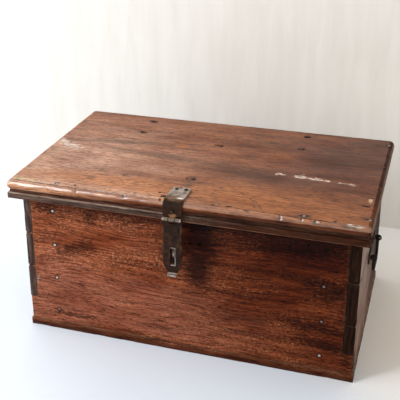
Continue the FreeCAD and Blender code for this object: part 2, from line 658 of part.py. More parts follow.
def main():
    """Build every piece, cut the holes that the fixings need, and write one file each."""
    sides = {"left": -1, "right": 1}
    hinge_x = {"left": LEFT_HINGE_X, "right": RIGHT_HINGE_X}
    faces = {"front": -1, "back": 1}
    nail_heights = wall_nail_heights()
    parts = {}

    groups = {
        "front_nails": wall_nails(-1, nail_heights, nail_heights[:-1]),
        "back_nails": wall_nails(1, nail_heights, nail_heights),
        "bottom_nails": bottom_nails(),
        "lid_moulding_nails": moulding_nails(),
        "hasp_strap_nails": hasp_strap_nails(),
    }
    for name, x in hinge_x.items():
        groups[name + "_hinge_strap_nails"] = hinge_strap_nails(x)
        groups[name + "_hinge_leaf_nails"] = hinge_leaf_nails(x)
    fixings = [solid for solids in groups.values() for solid in solids]

    staple = hasp_staple()
    eyes = {}
    for name, x_side in sides.items():
        for face, y_side in faces.items():
            eyes[name + "_handle_" + face + "_eye"] = handle_eye(x_side, y_side)

    parts["front_board"] = wall_board(-1).cut(staple)
    notches = [hinge_notch(x) for x in hinge_x.values()]
    parts["back_board"] = wall_board(1).cut(notches)
    parts["bottom_board"] = bottom_board()
    parts["lid_board"] = lid_board()
    parts["lid_front_moulding"] = front_moulding()
    for name, x_side in sides.items():
        parts[name + "_end_board"] = end_board(x_side).cut(list(eyes.values()))
        parts["lid_" + name + "_moulding"] = side_moulding(x_side)
        parts[name + "_hinge_strap"] = hinge_strap(hinge_x[name])
        parts[name + "_hinge_leaf"] = hinge_leaf(hinge_x[name])
        parts[name + "_handle_plate"] = handle_plate(x_side).cut(list(eyes.values()))
        for face, y_side in faces.items():
            parts[face + "_" + name + "_corner_block"] = corner_block(x_side, y_side)
    parts["hasp_strap"] = hasp_strap()
    for name, shape in parts.items():
        near = [solid for solid in fixings if solid.BoundBox.intersect(shape.BoundBox)]
        parts[name] = shape.cut(near) if near else shape

    for name, x_side in sides.items():
        parts[name + "_hinge_pin"] = hinge_pin(hinge_x[name])
        parts[name + "_handle_bail"] = handle_bail(x_side)
    parts["hasp_pin"] = hasp_pin()
    parts["hasp_plate"] = hasp_plate()
    parts["hasp_staple"] = staple
    parts.update(eyes)
    for name, solids in groups.items():
        parts[name] = Part.makeCompound(solids)

    os.makedirs("parts", exist_ok=True)
    for name, shape in sorted(parts.items()):
        kept = shape if len(shape.Solids) > 1 else shape.Solids[0]
        kept.exportStep(os.path.join("parts", name + ".step"))
        print(name, "solids", len(shape.Solids), "valid", shape.isValid(), "volume", round(shape.Volume, 2))


main()
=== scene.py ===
# %% [markdown]
# # An old plank-built tea chest
#
# The chest is a box of four dovetailed boards on a nailed-up bottom, under a lid with a rounded nose and
# lip mouldings. An iron hasp closes it over a staple, and a small iron drop handle hangs on each end.
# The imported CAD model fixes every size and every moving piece. This script gives each piece its worn
# edges, its dents and its finish, so the lesson is about making new wood and iron look old.

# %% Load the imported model
import json
import math

import bmesh
import bpy
from mathutils import Euler, Matrix, Vector, noise


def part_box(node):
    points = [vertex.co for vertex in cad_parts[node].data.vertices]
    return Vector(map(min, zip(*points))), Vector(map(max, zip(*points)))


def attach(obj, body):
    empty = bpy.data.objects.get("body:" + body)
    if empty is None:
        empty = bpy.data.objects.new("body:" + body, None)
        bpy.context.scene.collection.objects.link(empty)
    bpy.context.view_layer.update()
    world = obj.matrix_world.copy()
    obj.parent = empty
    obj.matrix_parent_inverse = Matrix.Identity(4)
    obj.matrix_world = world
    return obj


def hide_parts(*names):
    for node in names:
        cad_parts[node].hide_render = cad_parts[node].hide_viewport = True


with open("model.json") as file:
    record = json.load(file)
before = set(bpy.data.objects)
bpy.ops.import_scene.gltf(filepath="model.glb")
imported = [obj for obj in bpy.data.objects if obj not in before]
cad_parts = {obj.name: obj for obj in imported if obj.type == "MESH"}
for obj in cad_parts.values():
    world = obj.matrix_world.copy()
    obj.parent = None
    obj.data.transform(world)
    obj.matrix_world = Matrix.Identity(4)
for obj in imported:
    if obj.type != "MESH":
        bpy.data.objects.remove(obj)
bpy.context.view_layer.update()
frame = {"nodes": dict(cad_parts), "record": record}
scene = bpy.context.scene
record = frame["record"]
MM = 0.001
body_of = {node: body for body, nodes in record["behaviour"]["bodies"].items() for node in nodes}

# %% [markdown]
# ## The camera
#
# The picture is taken from the right of the front and from above, with a rather long lens. The place and
# the turn were solved from the chest's own corners, so they are written as plain numbers. A camera looks
# down its own -Z axis: it is tipped up from that, then turned round the chest, and the last small turn is
# the lean of a camera held by hand. The small shift stands for a picture cut out of a larger one, whose
# middle was a little further left and higher up.

# %% Camera
CAMERA_PLACE = (0.2940, -1.0535, 0.6777)
CAMERA_AZIMUTH = 18.72
CAMERA_ELEVATION = 22.5
CAMERA_LEAN = -0.67
CAMERA_LENS = 76.27
CAMERA_SHIFT = (0.075, -0.10)
CAMERA_SENSOR = 36.0
CAMERA_NEAREST = 0.05

camera_data = bpy.data.cameras.new("camera")
camera_data.lens = CAMERA_LENS
camera_data.shift_x, camera_data.shift_y = CAMERA_SHIFT
camera_data.sensor_width = CAMERA_SENSOR
camera_data.clip_start = CAMERA_NEAREST
camera = bpy.data.objects.new("camera", camera_data)
scene.collection.objects.link(camera)
turn = Matrix.Rotation(math.radians(CAMERA_AZIMUTH), 4, "Z")
tip = Matrix.Rotation(math.radians(90.0 - CAMERA_ELEVATION), 4, "X")
lean = Matrix.Rotation(math.radians(CAMERA_LEAN), 4, "Z")
camera.matrix_world = Matrix.Translation(CAMERA_PLACE) @ turn @ tip @ lean
scene.camera = camera
print("camera at", [round(value, 3) for value in camera.location])

# %% [markdown]
# ## Two small helpers for materials
#
# Colours are written as the hex codes that a colour picker shows. Blender's shaders work on linear light,
# so one function turns a code into linear numbers. A second function adds any shader node, sets it and
# links it, so that each material below reads as a list of layers and not as a list of clicks.

# %% Colour and node helpers
def shade(code):
    """Linear colour of an sRGB hex code."""
    parts = [int(code[i:i + 2], 16) / 255.0 for i in (1, 3, 5)]
    return tuple(c / 12.92 if c <= 0.04045 else ((c + 0.055) / 1.055) ** 2.4 for c in parts) + (1.0,)


def add(tree, kind, feeds=None, stops=None, **settings):
    """Adds a shader node. Feeds are values, nodes or sockets by input name; stops fill a colour ramp."""
    node = tree.nodes.new("ShaderNode" + kind)
    for name, value in settings.items():
        setattr(node, name, value)
    if stops:
        ends = node.color_ramp.elements
        ends[0].position, ends[0].color = stops[0]
        ends[1].position, ends[1].color = stops[-1]
        for place, colour in stops[1:-1]:
            ends.new(place).color = colour
    for name, value in (feeds or {}).items():
        live = [socket for socket in node.inputs if socket.enabled]
        if isinstance(name, int):
            socket = live[name]
        else:
            socket = next(s for s in live if s.name == name)
        if isinstance(value, bpy.types.Node):
            value = next(output for output in value.outputs if output.enabled)
        if isinstance(value, bpy.types.NodeSocket):
            tree.links.new(value, socket)
        else:
            socket.default_value = value
    return node


def new_finish(name):
    """An empty material, its node tree and the place of a point on the piece."""
    material = bpy.data.materials.new(name)
    material.use_nodes = True
    tree = material.node_tree
    tree.nodes.clear()
    place = add(tree, "TexCoord").outputs["Object"]
    return material, tree, place


def close_finish(tree, shader):
    """Links the shader to the material's output."""
    add(tree, "OutputMaterial", {"Surface": shader})


print("helpers ready")

# %% [markdown]
# ## Floor, wall and light
#
# The chest stands on a white table close to a white plastered wall, and daylight comes from the left. One
# big area lamp stands for the window there, a second one nearer the front puts the shine on the lid's nose,
# and the world fills in from everywhere. The wall is drawn from its front only: from behind it lets the view
# through, so the back of the chest can be looked at.

# %% Stage
# Sizes and places of the stage and of its paint, in metres
STAGE_REACH = 6.0
WALL_PLACE = 0.315
WALL_HEIGHT = 3.0
PAINT_PATCH = 0.4
# Where painted light makes the table paler, and where a painted warm glow of bounce light lies
PAINTED_LIGHT_WAY = (1.0, 0.6, 0.0)
PAINTED_LIGHT_RUN = (0.12, 0.28)
BOUNCE_GLOW_PLACE = (0.28, 0.02, 0.0)
BOUNCE_GLOW_HALF = (0.16, 0.22, 1.0)
BOUNCE_GLOW_RIM = (0.3, 1.1)
BRUSH_STROKE = (0.02, 1.0, 0.14)


def stage_sheet(name, corners, material):
    """One large flat sheet of the stage."""
    bm = bmesh.new()
    bm.faces.new([bm.verts.new(corner) for corner in corners])
    mesh = bpy.data.meshes.new(name)
    bm.to_mesh(mesh)
    bm.free()
    sheet = bpy.data.objects.new(name, mesh)
    scene.collection.objects.link(sheet)
    mesh.materials.append(material)


# Painted table top: smooth and even bluish paint, with painted light that makes it white to the right and
# behind, and a painted warm glow of bounce light in the chest's shadow beside it
table_paint_and_light, tree, place = new_finish("table_top_paint_and_painted_light")
patches = add(tree, "TexNoise", {"Vector": place, "Scale": 1.0 / PAINT_PATCH, "Detail": 2.0})
tone = add(tree, "ValToRGB", {"Fac": patches}, [(0.35, shade("#e4eefb")), (0.65, shade("#e9f3ff"))])
across = add(tree, "VectorMath", {0: place, 1: PAINTED_LIGHT_WAY}, operation="DOT_PRODUCT").outputs["Value"]
painted_light_share = add(tree, "MapRange", {"Value": across, "From Min": PAINTED_LIGHT_RUN[0], "From Max": PAINTED_LIGHT_RUN[1]})
tone = add(tree, "Mix", {"Factor": painted_light_share, "A": tone, "B": shade("#ffffff")}, data_type="RGBA")
beside = add(tree, "Mapping", {"Vector": place, "Location": BOUNCE_GLOW_PLACE, "Scale": BOUNCE_GLOW_HALF},
             vector_type="TEXTURE")
away = add(tree, "VectorMath", {0: beside}, operation="LENGTH").outputs["Value"]
bounce_glow_share = add(tree, "MapRange", {"Value": away, "From Min": BOUNCE_GLOW_RIM[0], "From Max": BOUNCE_GLOW_RIM[1],
                                "To Min": 1.0, "To Max": 0.0})
tone = add(tree, "Mix", {"Factor": bounce_glow_share, "A": tone, "B": shade("#fdf7f0")}, data_type="RGBA")
close_finish(tree, add(tree, "BsdfPrincipled", {"Base Color": tone, "Roughness": 0.55}))

# Lime plaster: dull, warm white, with the soft ridges of a brush
plaster, tree, place = new_finish("brushed_lime_plaster")
strokes = add(tree, "VectorMath", {0: place, 1: [1.0 / size for size in BRUSH_STROKE]}, operation="MULTIPLY")
ridges = add(tree, "TexNoise", {"Vector": strokes, "Scale": 1.0, "Detail": 5.0, "Distortion": 0.4})
relief = add(tree, "Bump", {"Height": ridges, "Strength": 0.3, "Distance": 0.003})
tone = add(tree, "ValToRGB", {"Fac": ridges}, [(0.3, shade("#e6e3dc")), (0.7, shade("#eeebe5"))])
chalk = add(tree, "BsdfPrincipled", {"Base Color": tone, "Roughness": 0.9, "Normal": relief})
side = add(tree, "NewGeometry").outputs["Backfacing"]
close_finish(tree, add(tree, "MixShader", {0: side, 1: chalk, 2: add(tree, "BsdfTransparent")}))

left, right = -STAGE_REACH, STAGE_REACH
stage_sheet("table_top", [(left, left, 0), (right, left, 0), (right, right, 0), (left, right, 0)],
            table_paint_and_light)
stage_sheet("back_wall", [(left, WALL_PLACE, 0), (right, WALL_PLACE, 0), (right, WALL_PLACE, WALL_HEIGHT),
                          (left, WALL_PLACE, WALL_HEIGHT)], plaster)
print("table top and wall made")

# %% Light
WINDOWS = {
    "left_window": {"place": (-1.55, -0.55, 0.85), "aim": (0.0, -0.20, 0.15), "size": (1.6, 1.5),
                    "power": 15.5},
    "front_window": {"place": (-1.05, -1.20, 1.30), "aim": (0.0, 0.0, 0.15), "size": (0.4, 1.0),
                     "power": 16.0},
}
FILL_STRENGTH = 0.70

for name, facts in WINDOWS.items():
    pane = bpy.data.lights.new(name, "AREA")
    pane.shape = "RECTANGLE"
    pane.size, pane.size_y = facts["size"]
    pane.energy = facts["power"]
    pane.color = shade("#fbfcff")[:3]
    lamp = bpy.data.objects.new(name, pane)
    scene.collection.objects.link(lamp)
    lamp.visible_camera = False
    aim = Vector(facts["aim"]) - Vector(facts["place"])
    facing = aim.to_track_quat("-Z", "Y").to_matrix().to_4x4()
    lamp.matrix_world = Matrix.Translation(facts["place"]) @ facing

world = bpy.data.worlds.new("room")
world.use_nodes = True
world.node_tree.nodes.clear()
room = add(world.node_tree, "Background", {"Color": shade("#fffaf2"), "Strength": FILL_STRENGTH})
add(world.node_tree, "OutputWorld", {"Surface": room})
scene.world = world
scene.view_settings.view_transform = "Standard"
print(len(WINDOWS), "window lamps and a fill of", FILL_STRENGTH)

# %% [markdown]
# ## Marks on the wood
#
# Chips, holes and stains are not spread evenly: each sits at its own place on the real boards. Every mark
# is written once, in millimetres, as a flat oval with a centre, half sizes and a turn. The same list cuts
# the dents into the mesh and colours them in the finish, so the two always agree.
# Some marks are painted light and shade instead: they are coloured only and cut nothing.

# %% Mark helpers
LID_TOP = round(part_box("lid_board")[1][2] / MM, 2)
FRONT_FACE = round(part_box("front_board")[0][1] / MM, 2)
END_FACE = round(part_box("right_end_board")[1][0] / MM, 2)
# Half sizes in mm across the face that a mark lies on
FRONT_REACH = 9.0
END_REACH = 30.0
STAIN_REACH = 40.0
ENDLESS = 5000.0
# What stands for far away from a mark, counted in its half sizes
FAR_AWAY = 9.0


def oval(centre, half, turn=(0.0, 0.0, 0.0), depth=0.0, inward=(0, 0, -1)):
    """A mark: its middle, its half sizes, its turn in degrees, and how deep it is sunk. Sizes in mm."""
    return {"centre": Vector(centre) * MM, "half": Vector(half) * MM, "depth": depth * MM,
            "turn": Euler([math.radians(angle) for angle in turn]), "inward": Vector(inward)}


def on_lid(x, y, half_x, half_y, turn=0.0, depth=0.0, half_z=11.0):
    """An oval mark on the lid's top."""
    return oval((x, y, LID_TOP), (half_x, half_y, half_z), (0.0, 0.0, turn), depth)


def lid_stain(x, y, half_x, half_y, turn=0.0):
    """A stain on the lid's top that runs down over the edge where it meets one."""
    return on_lid(x, y, half_x, half_y, turn, half_z=STAIN_REACH)


def on_front(x, z, half_x, half_z, turn=0.0, depth=0.0):
    """An oval mark on the front board."""
    return oval((x, FRONT_FACE, z), (half_x, FRONT_REACH, half_z), (0.0, -turn, 0.0), depth, (0, 1, 0))


def on_ends(y, z, half_y, half_z):
    """The same mark on both end boards."""
    return [oval((side * END_FACE, y, z), (END_REACH, half_y, half_z)) for side in (-1, 1)]


def band(z, half_z, x=0.0, half_x=ENDLESS):
    """A level line round the chest, or round a part of its width."""
    return oval((x, 0.0, z), (half_x, ENDLESS, half_z))


def reach(mark, point):
    """How far a point is from a mark's centre: 1 on the oval's rim. Points far away are not worked out."""
    if (point - mark["centre"]).length_squared > (3.0 * max(mark["half"])) ** 2:
        return FAR_AWAY
    local = mark["turn"].to_matrix().transposed() @ (point - mark["centre"])
    return Vector((local.x / mark["half"].x, local.y / mark["half"].y, local.z / mark["half"].z)).length


def mark_mask(tree, place, marks, ragged, soft, grit):
    """Mask that is 1 inside the marks, given as a list or as the name that they were painted under.
    Ragged breaks up the rim, soft blurs it, and grit is how long the crumbs of the rim are along the grain;
    they are a third as wide."""
    nearest = FAR_AWAY
    if isinstance(marks, str):
        nearest = add(tree, "Attribute", attribute_name=marks).outputs["Fac"]
        marks = []
    for mark in marks:
        local = add(tree, "Mapping", {"Vector": place, "Location": mark["centre"], "Rotation": mark["turn"],
                                      "Scale": mark["half"]}, vector_type="TEXTURE")
        away = add(tree, "VectorMath", {0: local}, operation="LENGTH").outputs["Value"]
        nearest = add(tree, "Math", {0: away, 1: nearest}, operation="MINIMUM")
    size = [1.0 / (grit * MM), 3.0 / (grit * MM), 3.0 / (grit * MM)]
    along = add(tree, "VectorMath", {0: place, 1: size}, operation="MULTIPLY")
    crumbs = add(tree, "TexNoise", {"Vector": along, "Scale": 1.0, "Detail": 3.0})
    broken = add(tree, "Math", {0: crumbs, 1: 2.0 * ragged, 2: nearest}, operation="MULTIPLY_ADD")
    return add(tree, "MapRange", {"Value": broken, "From Min": 1.0 + ragged - soft,
                                  "From Max": 1.0 + ragged + soft, "To Min": 1.0, "To Max": 0.0},
               interpolation_type="SMOOTHSTEP")


def lay_marks(tree, place, colour, layers):
    """Lays marks over a colour. A layer is the settings of its mask, a tone, a share and a way of mixing."""
    for settings, tone, share, how in layers:
        mask = mark_mask(tree, place, *settings)
        mask = add(tree, "Math", {0: mask, 1: share}, operation="MULTIPLY")
        colour = add(tree, "Mix", {"Factor": mask, "A": colour, "B": shade(tone)}, data_type="RGBA",
                     blend_type=how)
    return colour


print("mark helpers ready")

# %% Marks of the lid
lid_holes = [
    on_lid(0.3, 38.3, 8, 2.6, 3, depth=2.5),
    on_lid(-1.6, -87.6, 3.4, 2.6, depth=3),
    on_lid(-125, 105.5, 7.5, 4.5, -20, depth=0.5),
    on_lid(-125, 57.5, 7, 3.5, -10, depth=0.4),
    on_lid(113.5, 109.5, 6, 4.5, 20, depth=0.5),
    on_lid(114.5, 59, 6.5, 3.5, 10, depth=0.4),
    on_lid(-142, -149.5, 2.6, 2, depth=0.8),
    on_lid(43, -154.3, 2.6, 2.2, depth=0.8),
    on_lid(63, -153.3, 4.4, 2.2, 10, depth=0.8),
    on_lid(86.3, -158, 4, 1.8, -20, depth=0.8),
    on_lid(92.3, -145, 2, 1.6, depth=0.6),
    on_lid(222, -104, 6, 2.2, depth=0.8),
    on_lid(192, -155.7, 2.4, 1.8, depth=0.8),
    on_lid(127.6, -160.5, 1.2, 3.4, 8, depth=1.5),
    on_lid(153.2, -161, 1.2, 3.4, 8, depth=1.5),
    on_lid(169.6, -160.8, 1.3, 3.8, 6, depth=1.5),
    on_lid(-136, -161, 1, 4, 20, depth=1.5),
    on_lid(-72, -161.5, 0.9, 3.6, -15, depth=1.2),
    on_lid(-23.5, -158, 1.6, 4, 20, depth=1.5),
    on_lid(-21.8, -147.5, 4.2, 3.4, 30, depth=1.6),
    on_lid(-30, -138.8, 2.2, 1.6, depth=0.8),
    on_lid(19, -140.3, 2, 1.6, depth=0.8),
    on_lid(-166, -151, 4.6, 3.4, depth=0.2),
    on_lid(155, -151.4, 6.5, 3.6, 6, depth=0.2),
    on_lid(228, -139.5, 5.5, 3.4, depth=0.2),
    on_lid(229, 108, 5, 3.6, depth=0.2),
]
# A ring of tool marks round the old hole, each a little askew to the ring
RING_MIDDLE = (-5.2, -87)
RING_HALF = (5.8, 6.2)
RING_ANGLES = (15, 70, 118, 160, 205, 262, 318)
RING_ASKEW = 75
for angle in RING_ANGLES:
    turned = math.radians(angle)
    lid_holes.append(on_lid(RING_MIDDLE[0] + RING_HALF[0] * math.cos(turned),
                            RING_MIDDLE[1] + RING_HALF[1] * math.sin(turned),
                            2.8, 1, angle + RING_ASKEW, depth=0.6))
lid_bare = [
    on_lid(-223, -9, 11, 4.6, -42, depth=1),
    on_lid(-208, -20, 15, 8, -28, depth=1.2),
    on_lid(-195, -26.5, 11, 4.4, -10, depth=1),
    on_lid(98, -40, 1.8, 2.6, depth=0.6),
    on_lid(104.5, -37, 4.5, 2.4, -20, depth=0.6),
    on_lid(130, -39.5, 8.5, 3.4, 0, depth=1.1),
    on_lid(133, -34.5, 2.2, 4.4, 10, depth=1),
    on_lid(149.5, -40.6, 11, 2.8, -4, depth=1.1),
    on_lid(152, -36.5, 3.4, 2.6, 0, depth=1),
    on_lid(164.7, -42.4, 6, 1.4, -6, depth=0.6),
    on_lid(180.5, -43.8, 2.8, 2.2, depth=0.8),
    on_lid(189.5, -43.4, 3.6, 1.4, depth=0.6),
    on_lid(199, -45.2, 5.4, 2.8, -8, depth=1),
    on_lid(208, -158.7, 4, 1.8, depth=1.2),
    on_lid(220, -159.7, 4.6, 1.8, depth=1.4),
    on_lid(129.4, -160, 0.8, 2, 8, depth=0.8, half_z=5),
    on_lid(151.2, -160.6, 0.8, 2.2, 8, depth=0.8, half_z=5),
    on_lid(155, -160.4, 0.7, 1.8, 8, depth=0.8, half_z=5),
    on_lid(171.3, -160.6, 0.8, 2.4, 6, depth=0.8, half_z=5),
    on_lid(178, -160.8, 0.7, 1.6, 6, depth=0.6, half_z=5),
]
lid_yellow = [
    on_lid(225, -86.7, 2.8, 6, depth=1),
    on_lid(-222, -148.5, 16, 4.2, 2, depth=1),
    on_lid(-203, -150.5, 10, 3.2, -10, depth=0.9),
]
lid_fresh = [on_lid(-20, -157, 2.8, 2.6, depth=0.8)]
lid_cracks = [
    on_lid(-185, -156.6, 50, 1.5, -1, depth=1.4),
    on_lid(-92, -158.6, 46, 1, -1, depth=0.7),
    on_lid(71, -112.5, 11, 1.1, -45, depth=0.4),
    on_lid(85, -126, 9, 0.9, -40, depth=0.4),
    on_lid(98, -140.5, 11, 0.9, -58, depth=0.4),
    on_lid(150, -157.5, 70, 0.9, -1, depth=0.7),
    on_lid(213, -162, 16, 0.9, -1, depth=0.7),
]
lid_stains = [
    lid_stain(58, -48, 92, 21, -12),
    lid_stain(-70, -22, 80, 9, -4),
    lid_stain(-150, 10, 80, 6, 8),
    lid_stain(182, 35, 52, 46, 20),
    lid_stain(215, 100, 40, 18, 10),
    lid_stain(-228, -37, 9, 5),
    lid_stain(-131, -121.5, 6, 6),
    lid_stain(-5, -86.5, 6, 6.5),
    lid_stain(-2, -106, 6, 12),
    lid_stain(156, -153, 8, 4.6),
    lid_stain(-228, 75, 7, 6),
    lid_stain(-230, -111.5, 6, 4),
    lid_stain(223, -136, 7, 4),
]
# Painted shade: the nose darker towards its foot, and darker still at the right
nose_painted_shade_foot = [band(212, 15)]
nose_painted_shade_right = [band(222, 8, 170, 190)]
nose_foot_painted_shade_right = [band(219, 8, 230, 330)]
# Painted light: the nose's lower half paler at the left corner, where the light falls
nose_left_painted_light = [band(224, 9, -236, 120)]
quirk_right = [band(217, 8, 210, 225)]
# Painted light: the lid paler towards the left and the front left, where the light falls
lid_painted_light_left = [
    on_lid(-235, -70, 170, 120, half_z=60),
    on_lid(-190, -150, 170, 36, half_z=60),
]
# Painted shade: the lid darker towards the right
lid_painted_shade_right = [on_lid(215, 30, 150, 130, 20, half_z=60)]
lid_right_edge = [lid_stain(238, 0, 12, 170)]
# Painted highlight along the lid's front edge and nose at the left
lid_front_painted_highlight = [on_lid(-150, -156, 150, 15, half_z=8)]
lid_warm = [
    lid_stain(-52.5, 21.5, 9, 7, 20),
    lid_stain(120, -120, 130, 38, 2),
    lid_stain(150, -140, 110, 26, 0),
    lid_stain(-60, -128, 150, 24, 0),
    lid_stain(90, 20, 26, 14, 35),
]
print("lid marks:", len(lid_holes + lid_bare + lid_cracks), "cut and coloured,",
      len(lid_stains + lid_warm), "coloured only")

# %% Marks of the front board
front_holes = [
    on_front(10, 166, 2, 1.8, depth=3),
    on_front(22.5, 166, 2.2, 2, depth=3),
    on_front(49.5, 79, 1.8, 1.5, depth=1),
    on_front(138, 182, 1.6, 3.4, 8, depth=0.8),
    on_front(160, 188, 1.6, 2.8, 0, depth=0.8),
]
front_stains_and_lip_shadow = [
    on_front(-160, 130, 20, 7, 18),
    on_front(-135, 140, 13, 8),
    on_front(-128, 180, 9, 10),
    on_front(-190, 190, 16, 9),
    on_front(-160, 27, 24, 4),
    on_front(192, 128, 24, 12, -4),
    on_front(150, 183, 60, 14),
    on_front(188, 50, 48, 8, -3),
    on_front(172, 74, 42, 7, -3),
    on_front(215, 110, 8, 100),
    # Painted shadow under the lip at the right; the marks above are stains
    on_front(140, 198, 130, 12),
]
# Painted shadow of the hasp plate on the front to its right, and painted shade behind its slot
front_hasp_painted_shadow = [on_front(22, 174, 27, 40), on_front(-12, 148, 15, 22),
                   on_front(20, 132, 18, 26)]
# Darker wood, with painted shade under the lid, at the top right
front_top_dark_and_painted_shade = [on_front(150, 205, 150, 62)]
front_foot = [band(0, 9)]
# Painted shadow under the lip moulding along the front's top
front_lip_painted_shadow = [on_front(-70, 206, 180, 17)]
# Painted shade on the wood seen through the hasp's slot
front_slot_painted_shade = [on_front(-12.5, 147, 9, 17)]
front_filler = [on_front(-211, 76.5, 1.5, 6, -12)]
bottom_joint = [band(11, 1.3)]
# Painted shade: the front darker towards the right
front_painted_shade_right = [on_front(225, 135, 210, 125)]
NAIL_COLUMN = 182
NAIL_HEIGHTS = (32, 82.7, 133.3, 184)
front_nail_rings = [on_front(side * NAIL_COLUMN, z, 3.6, 3.6) for side in (-1, 1) for z in NAIL_HEIGHTS]
# Painted light: a pale pink sheen from the lit table, low on the front and at its left
front_pink_painted_light = [
    on_front(-60, 66, 150, 34, -2),
    on_front(-60, 30, 130, 12, -2),
    on_front(-180, 60, 56, 62),
    on_front(-165, 34, 60, 30),
]
print("front marks:", len(front_holes + front_stains_and_lip_shadow + front_pink_painted_light))

# %% [markdown]
# ## Old oiled wood
#
# Wood is a bundle of long fibres, so every layer of its pattern is long along the grain and short across
# it: broad streaks, finer fibres, and the short dark pores of an open-grained tropical timber. Hand rubbing
# and dirt add soft blotches, and the arrises are rubbed pale. One function lays these over each other for a
# board whose grain runs along X, Y or Z, because the boards differ in colour and not in kind.

# %% Wood finish
# Sizes of the wood's own pattern in mm: along the grain and across it, or one size
SWAY = (190.0, 70.0)
SWAY_WIDTH = 35.0
STREAK_LENGTH = 240.0
BLOTCH = (80.0, 38.0)
PAINTED_GLINT = (3.4, 2.0)
RUB = (32.0, 7.0)
FIBRE_RELIEF = 0.6
# Where the four tones lie between the darkest and the lightest streak, and how rough dry wood is
STREAK_STEPS = (0.28, 0.43, 0.56, 0.72)
BONE_DRY = 0.95


def along_grain(tree, place, grain, length, width):
    """The place, squeezed so that a noise of size 1 is that long along the grain and that wide across it."""
    sizes = [1.0 / (length * MM if axis == grain else width * MM) for axis in "XYZ"]
    return add(tree, "VectorMath", {0: place, 1: sizes}, operation="MULTIPLY")


def wood(name, grain, tones, layers=(), flecks=None, worn_tone="#a9795a", worn_share=0.8, polish=0.0,
         sheen=0.5, gloss=(0.38, 0.6), streak=15.0, fibre=(60.0, 2.2, 0.8), pore=(11.0, 1.5, 0.5),
         blotch=0.6, wax=0.0, furrow="#a3948c", dry=None):
    """Old wood. Tones run from dark to light, and layers are marks as lay_marks takes them. Fibre and pore
    are length and width in mm and how much they show. Streak is a width in mm. Dry marks have no shine."""
    material, tree, place = new_finish(name)

    # The grain sways by a few millimetres over a hand's length
    sway = add(tree, "TexNoise", {"Vector": along_grain(tree, place, grain, *SWAY), "Scale": 1.0,
                                  "Detail": 2.0})
    lean = add(tree, "VectorMath", {0: sway.outputs["Color"], 1: (0.5, 0.5, 0.5)}, operation="SUBTRACT")
    swayed = add(tree, "VectorMath", {0: lean, 1: [SWAY_WIDTH * MM] * 3, 2: place}, operation="MULTIPLY_ADD")

    # Broad streaks of heartwood
    streaks = add(tree, "TexNoise", {"Vector": along_grain(tree, swayed, grain, STREAK_LENGTH, streak),
                                     "Scale": 1.0, "Detail": 6.0, "Roughness": 0.66})
    colour = add(tree, "ValToRGB", {"Fac": streaks}, [(p, shade(t)) for p, t in zip(STREAK_STEPS, tones)])

    # Blotches, some thumbs' width across, which the painted flecks of highlight, the dirt and the
    # shine all follow
    blotches = add(tree, "TexNoise", {"Vector": along_grain(tree, place, grain, *BLOTCH), "Scale": 1.0,
                                      "Detail": 4.0})

    # Pale flecks: painted highlights where the broken-open grain catches the light
    if flecks:
        painted_glints = add(tree, "TexNoise", {"Vector": along_grain(tree, place, grain, *PAINTED_GLINT), "Scale": 1.0,
                                      "Detail": 3.0, "Roughness": 0.65})
        painted_glint_mask = add(tree, "MapRange", {"Value": painted_glints, "From Min": 0.5, "From Max": 0.66, "To Max": 0.7})
        patch = add(tree, "MapRange", {"Value": blotches, "From Min": 0.38, "From Max": 0.56})
        painted_glint_mask = add(tree, "Math", {0: painted_glint_mask, 1: patch}, operation="MULTIPLY")
        colour = add(tree, "Mix", {"Factor": painted_glint_mask, "A": colour, "B": shade(flecks)}, data_type="RGBA")

    # The marks of this board, under the fibres, so that bare wood shows its grain too
    colour = lay_marks(tree, place, colour, layers)

    # Fibres, drawn about 2 mm wide where real ones are well under 1 mm, so that they show in the picture
    fibres = add(tree, "TexNoise", {"Vector": along_grain(tree, swayed, grain, *fibre[:2]), "Scale": 1.0,
                                    "Detail": 4.0, "Roughness": 0.65})
    # Pores, drawn about 1.5 mm wide for the same reason
    pores = add(tree, "TexNoise", {"Vector": along_grain(tree, swayed, grain, *pore[:2]), "Scale": 1.0,
                                   "Detail": 1.0})
    # Both are dark in their furrows, and so are the blotches with old dirt and oil
    for pattern, share, dark, steps in ((fibres, fibre[2], furrow, (0.32, 0.6)),
                                        (pores, pore[2], "#6a564b", (0.3, 0.45)),
                                        (blotches, blotch, "#bfaca2", (0.32, 0.58))):
        tint = add(tree, "ValToRGB", {"Fac": pattern}, list(zip(steps, (shade(dark), shade("#ffffff")))))
        colour = add(tree, "Mix", {"Factor": share, "A": colour, "B": tint}, data_type="RGBA",
                     blend_type="MULTIPLY")

    # Rubbed arrises, broken up so that the pale line comes and goes
    worn = add(tree, "Attribute", attribute_name="worn").outputs["Fac"]
    rub = add(tree, "TexNoise", {"Vector": along_grain(tree, place, grain, *RUB), "Scale": 1.0,
                                 "Detail": 4.0})
    rub_mask = add(tree, "MapRange", {"Value": rub, "From Min": 0.36, "From Max": 0.68,
                                      "To Max": worn_share})
    rub_mask = add(tree, "Math", {0: rub_mask, 1: worn}, operation="MULTIPLY")
    colour = add(tree, "Mix", {"Factor": rub_mask, "A": colour, "B": shade(worn_tone)}, data_type="RGBA")

    # Oiled patches and rubbed arrises shine more than dry ones, and the fibres stand up as fine ridges
    dull = add(tree, "MapRange", {"Value": blotches, "From Min": 0.3, "From Max": 0.65, "To Min": gloss[1],
                                  "To Max": gloss[0]})
    dull = add(tree, "Math", {0: worn, 1: -polish, 2: dull}, operation="MULTIPLY_ADD")
    if dry:
        dull = add(tree, "Mix", {"Factor": mark_mask(tree, place, *dry), "A": dull, "B": BONE_DRY})
    height = add(tree, "Math", {0: fibres, 1: pores}, operation="ADD")
    relief = add(tree, "Bump", {"Height": height, "Strength": 0.35, "Distance": FIBRE_RELIEF * MM})
    shader = add(tree, "BsdfPrincipled", {"Base Color": colour, "Roughness": dull, "Normal": relief,
                                          "Specular IOR Level": sheen, "Coat Weight": wax,
                                          "Coat Roughness": 0.26, "Coat IOR": 1.8})
    close_finish(tree, shader)
    return material


print("wood finish ready")
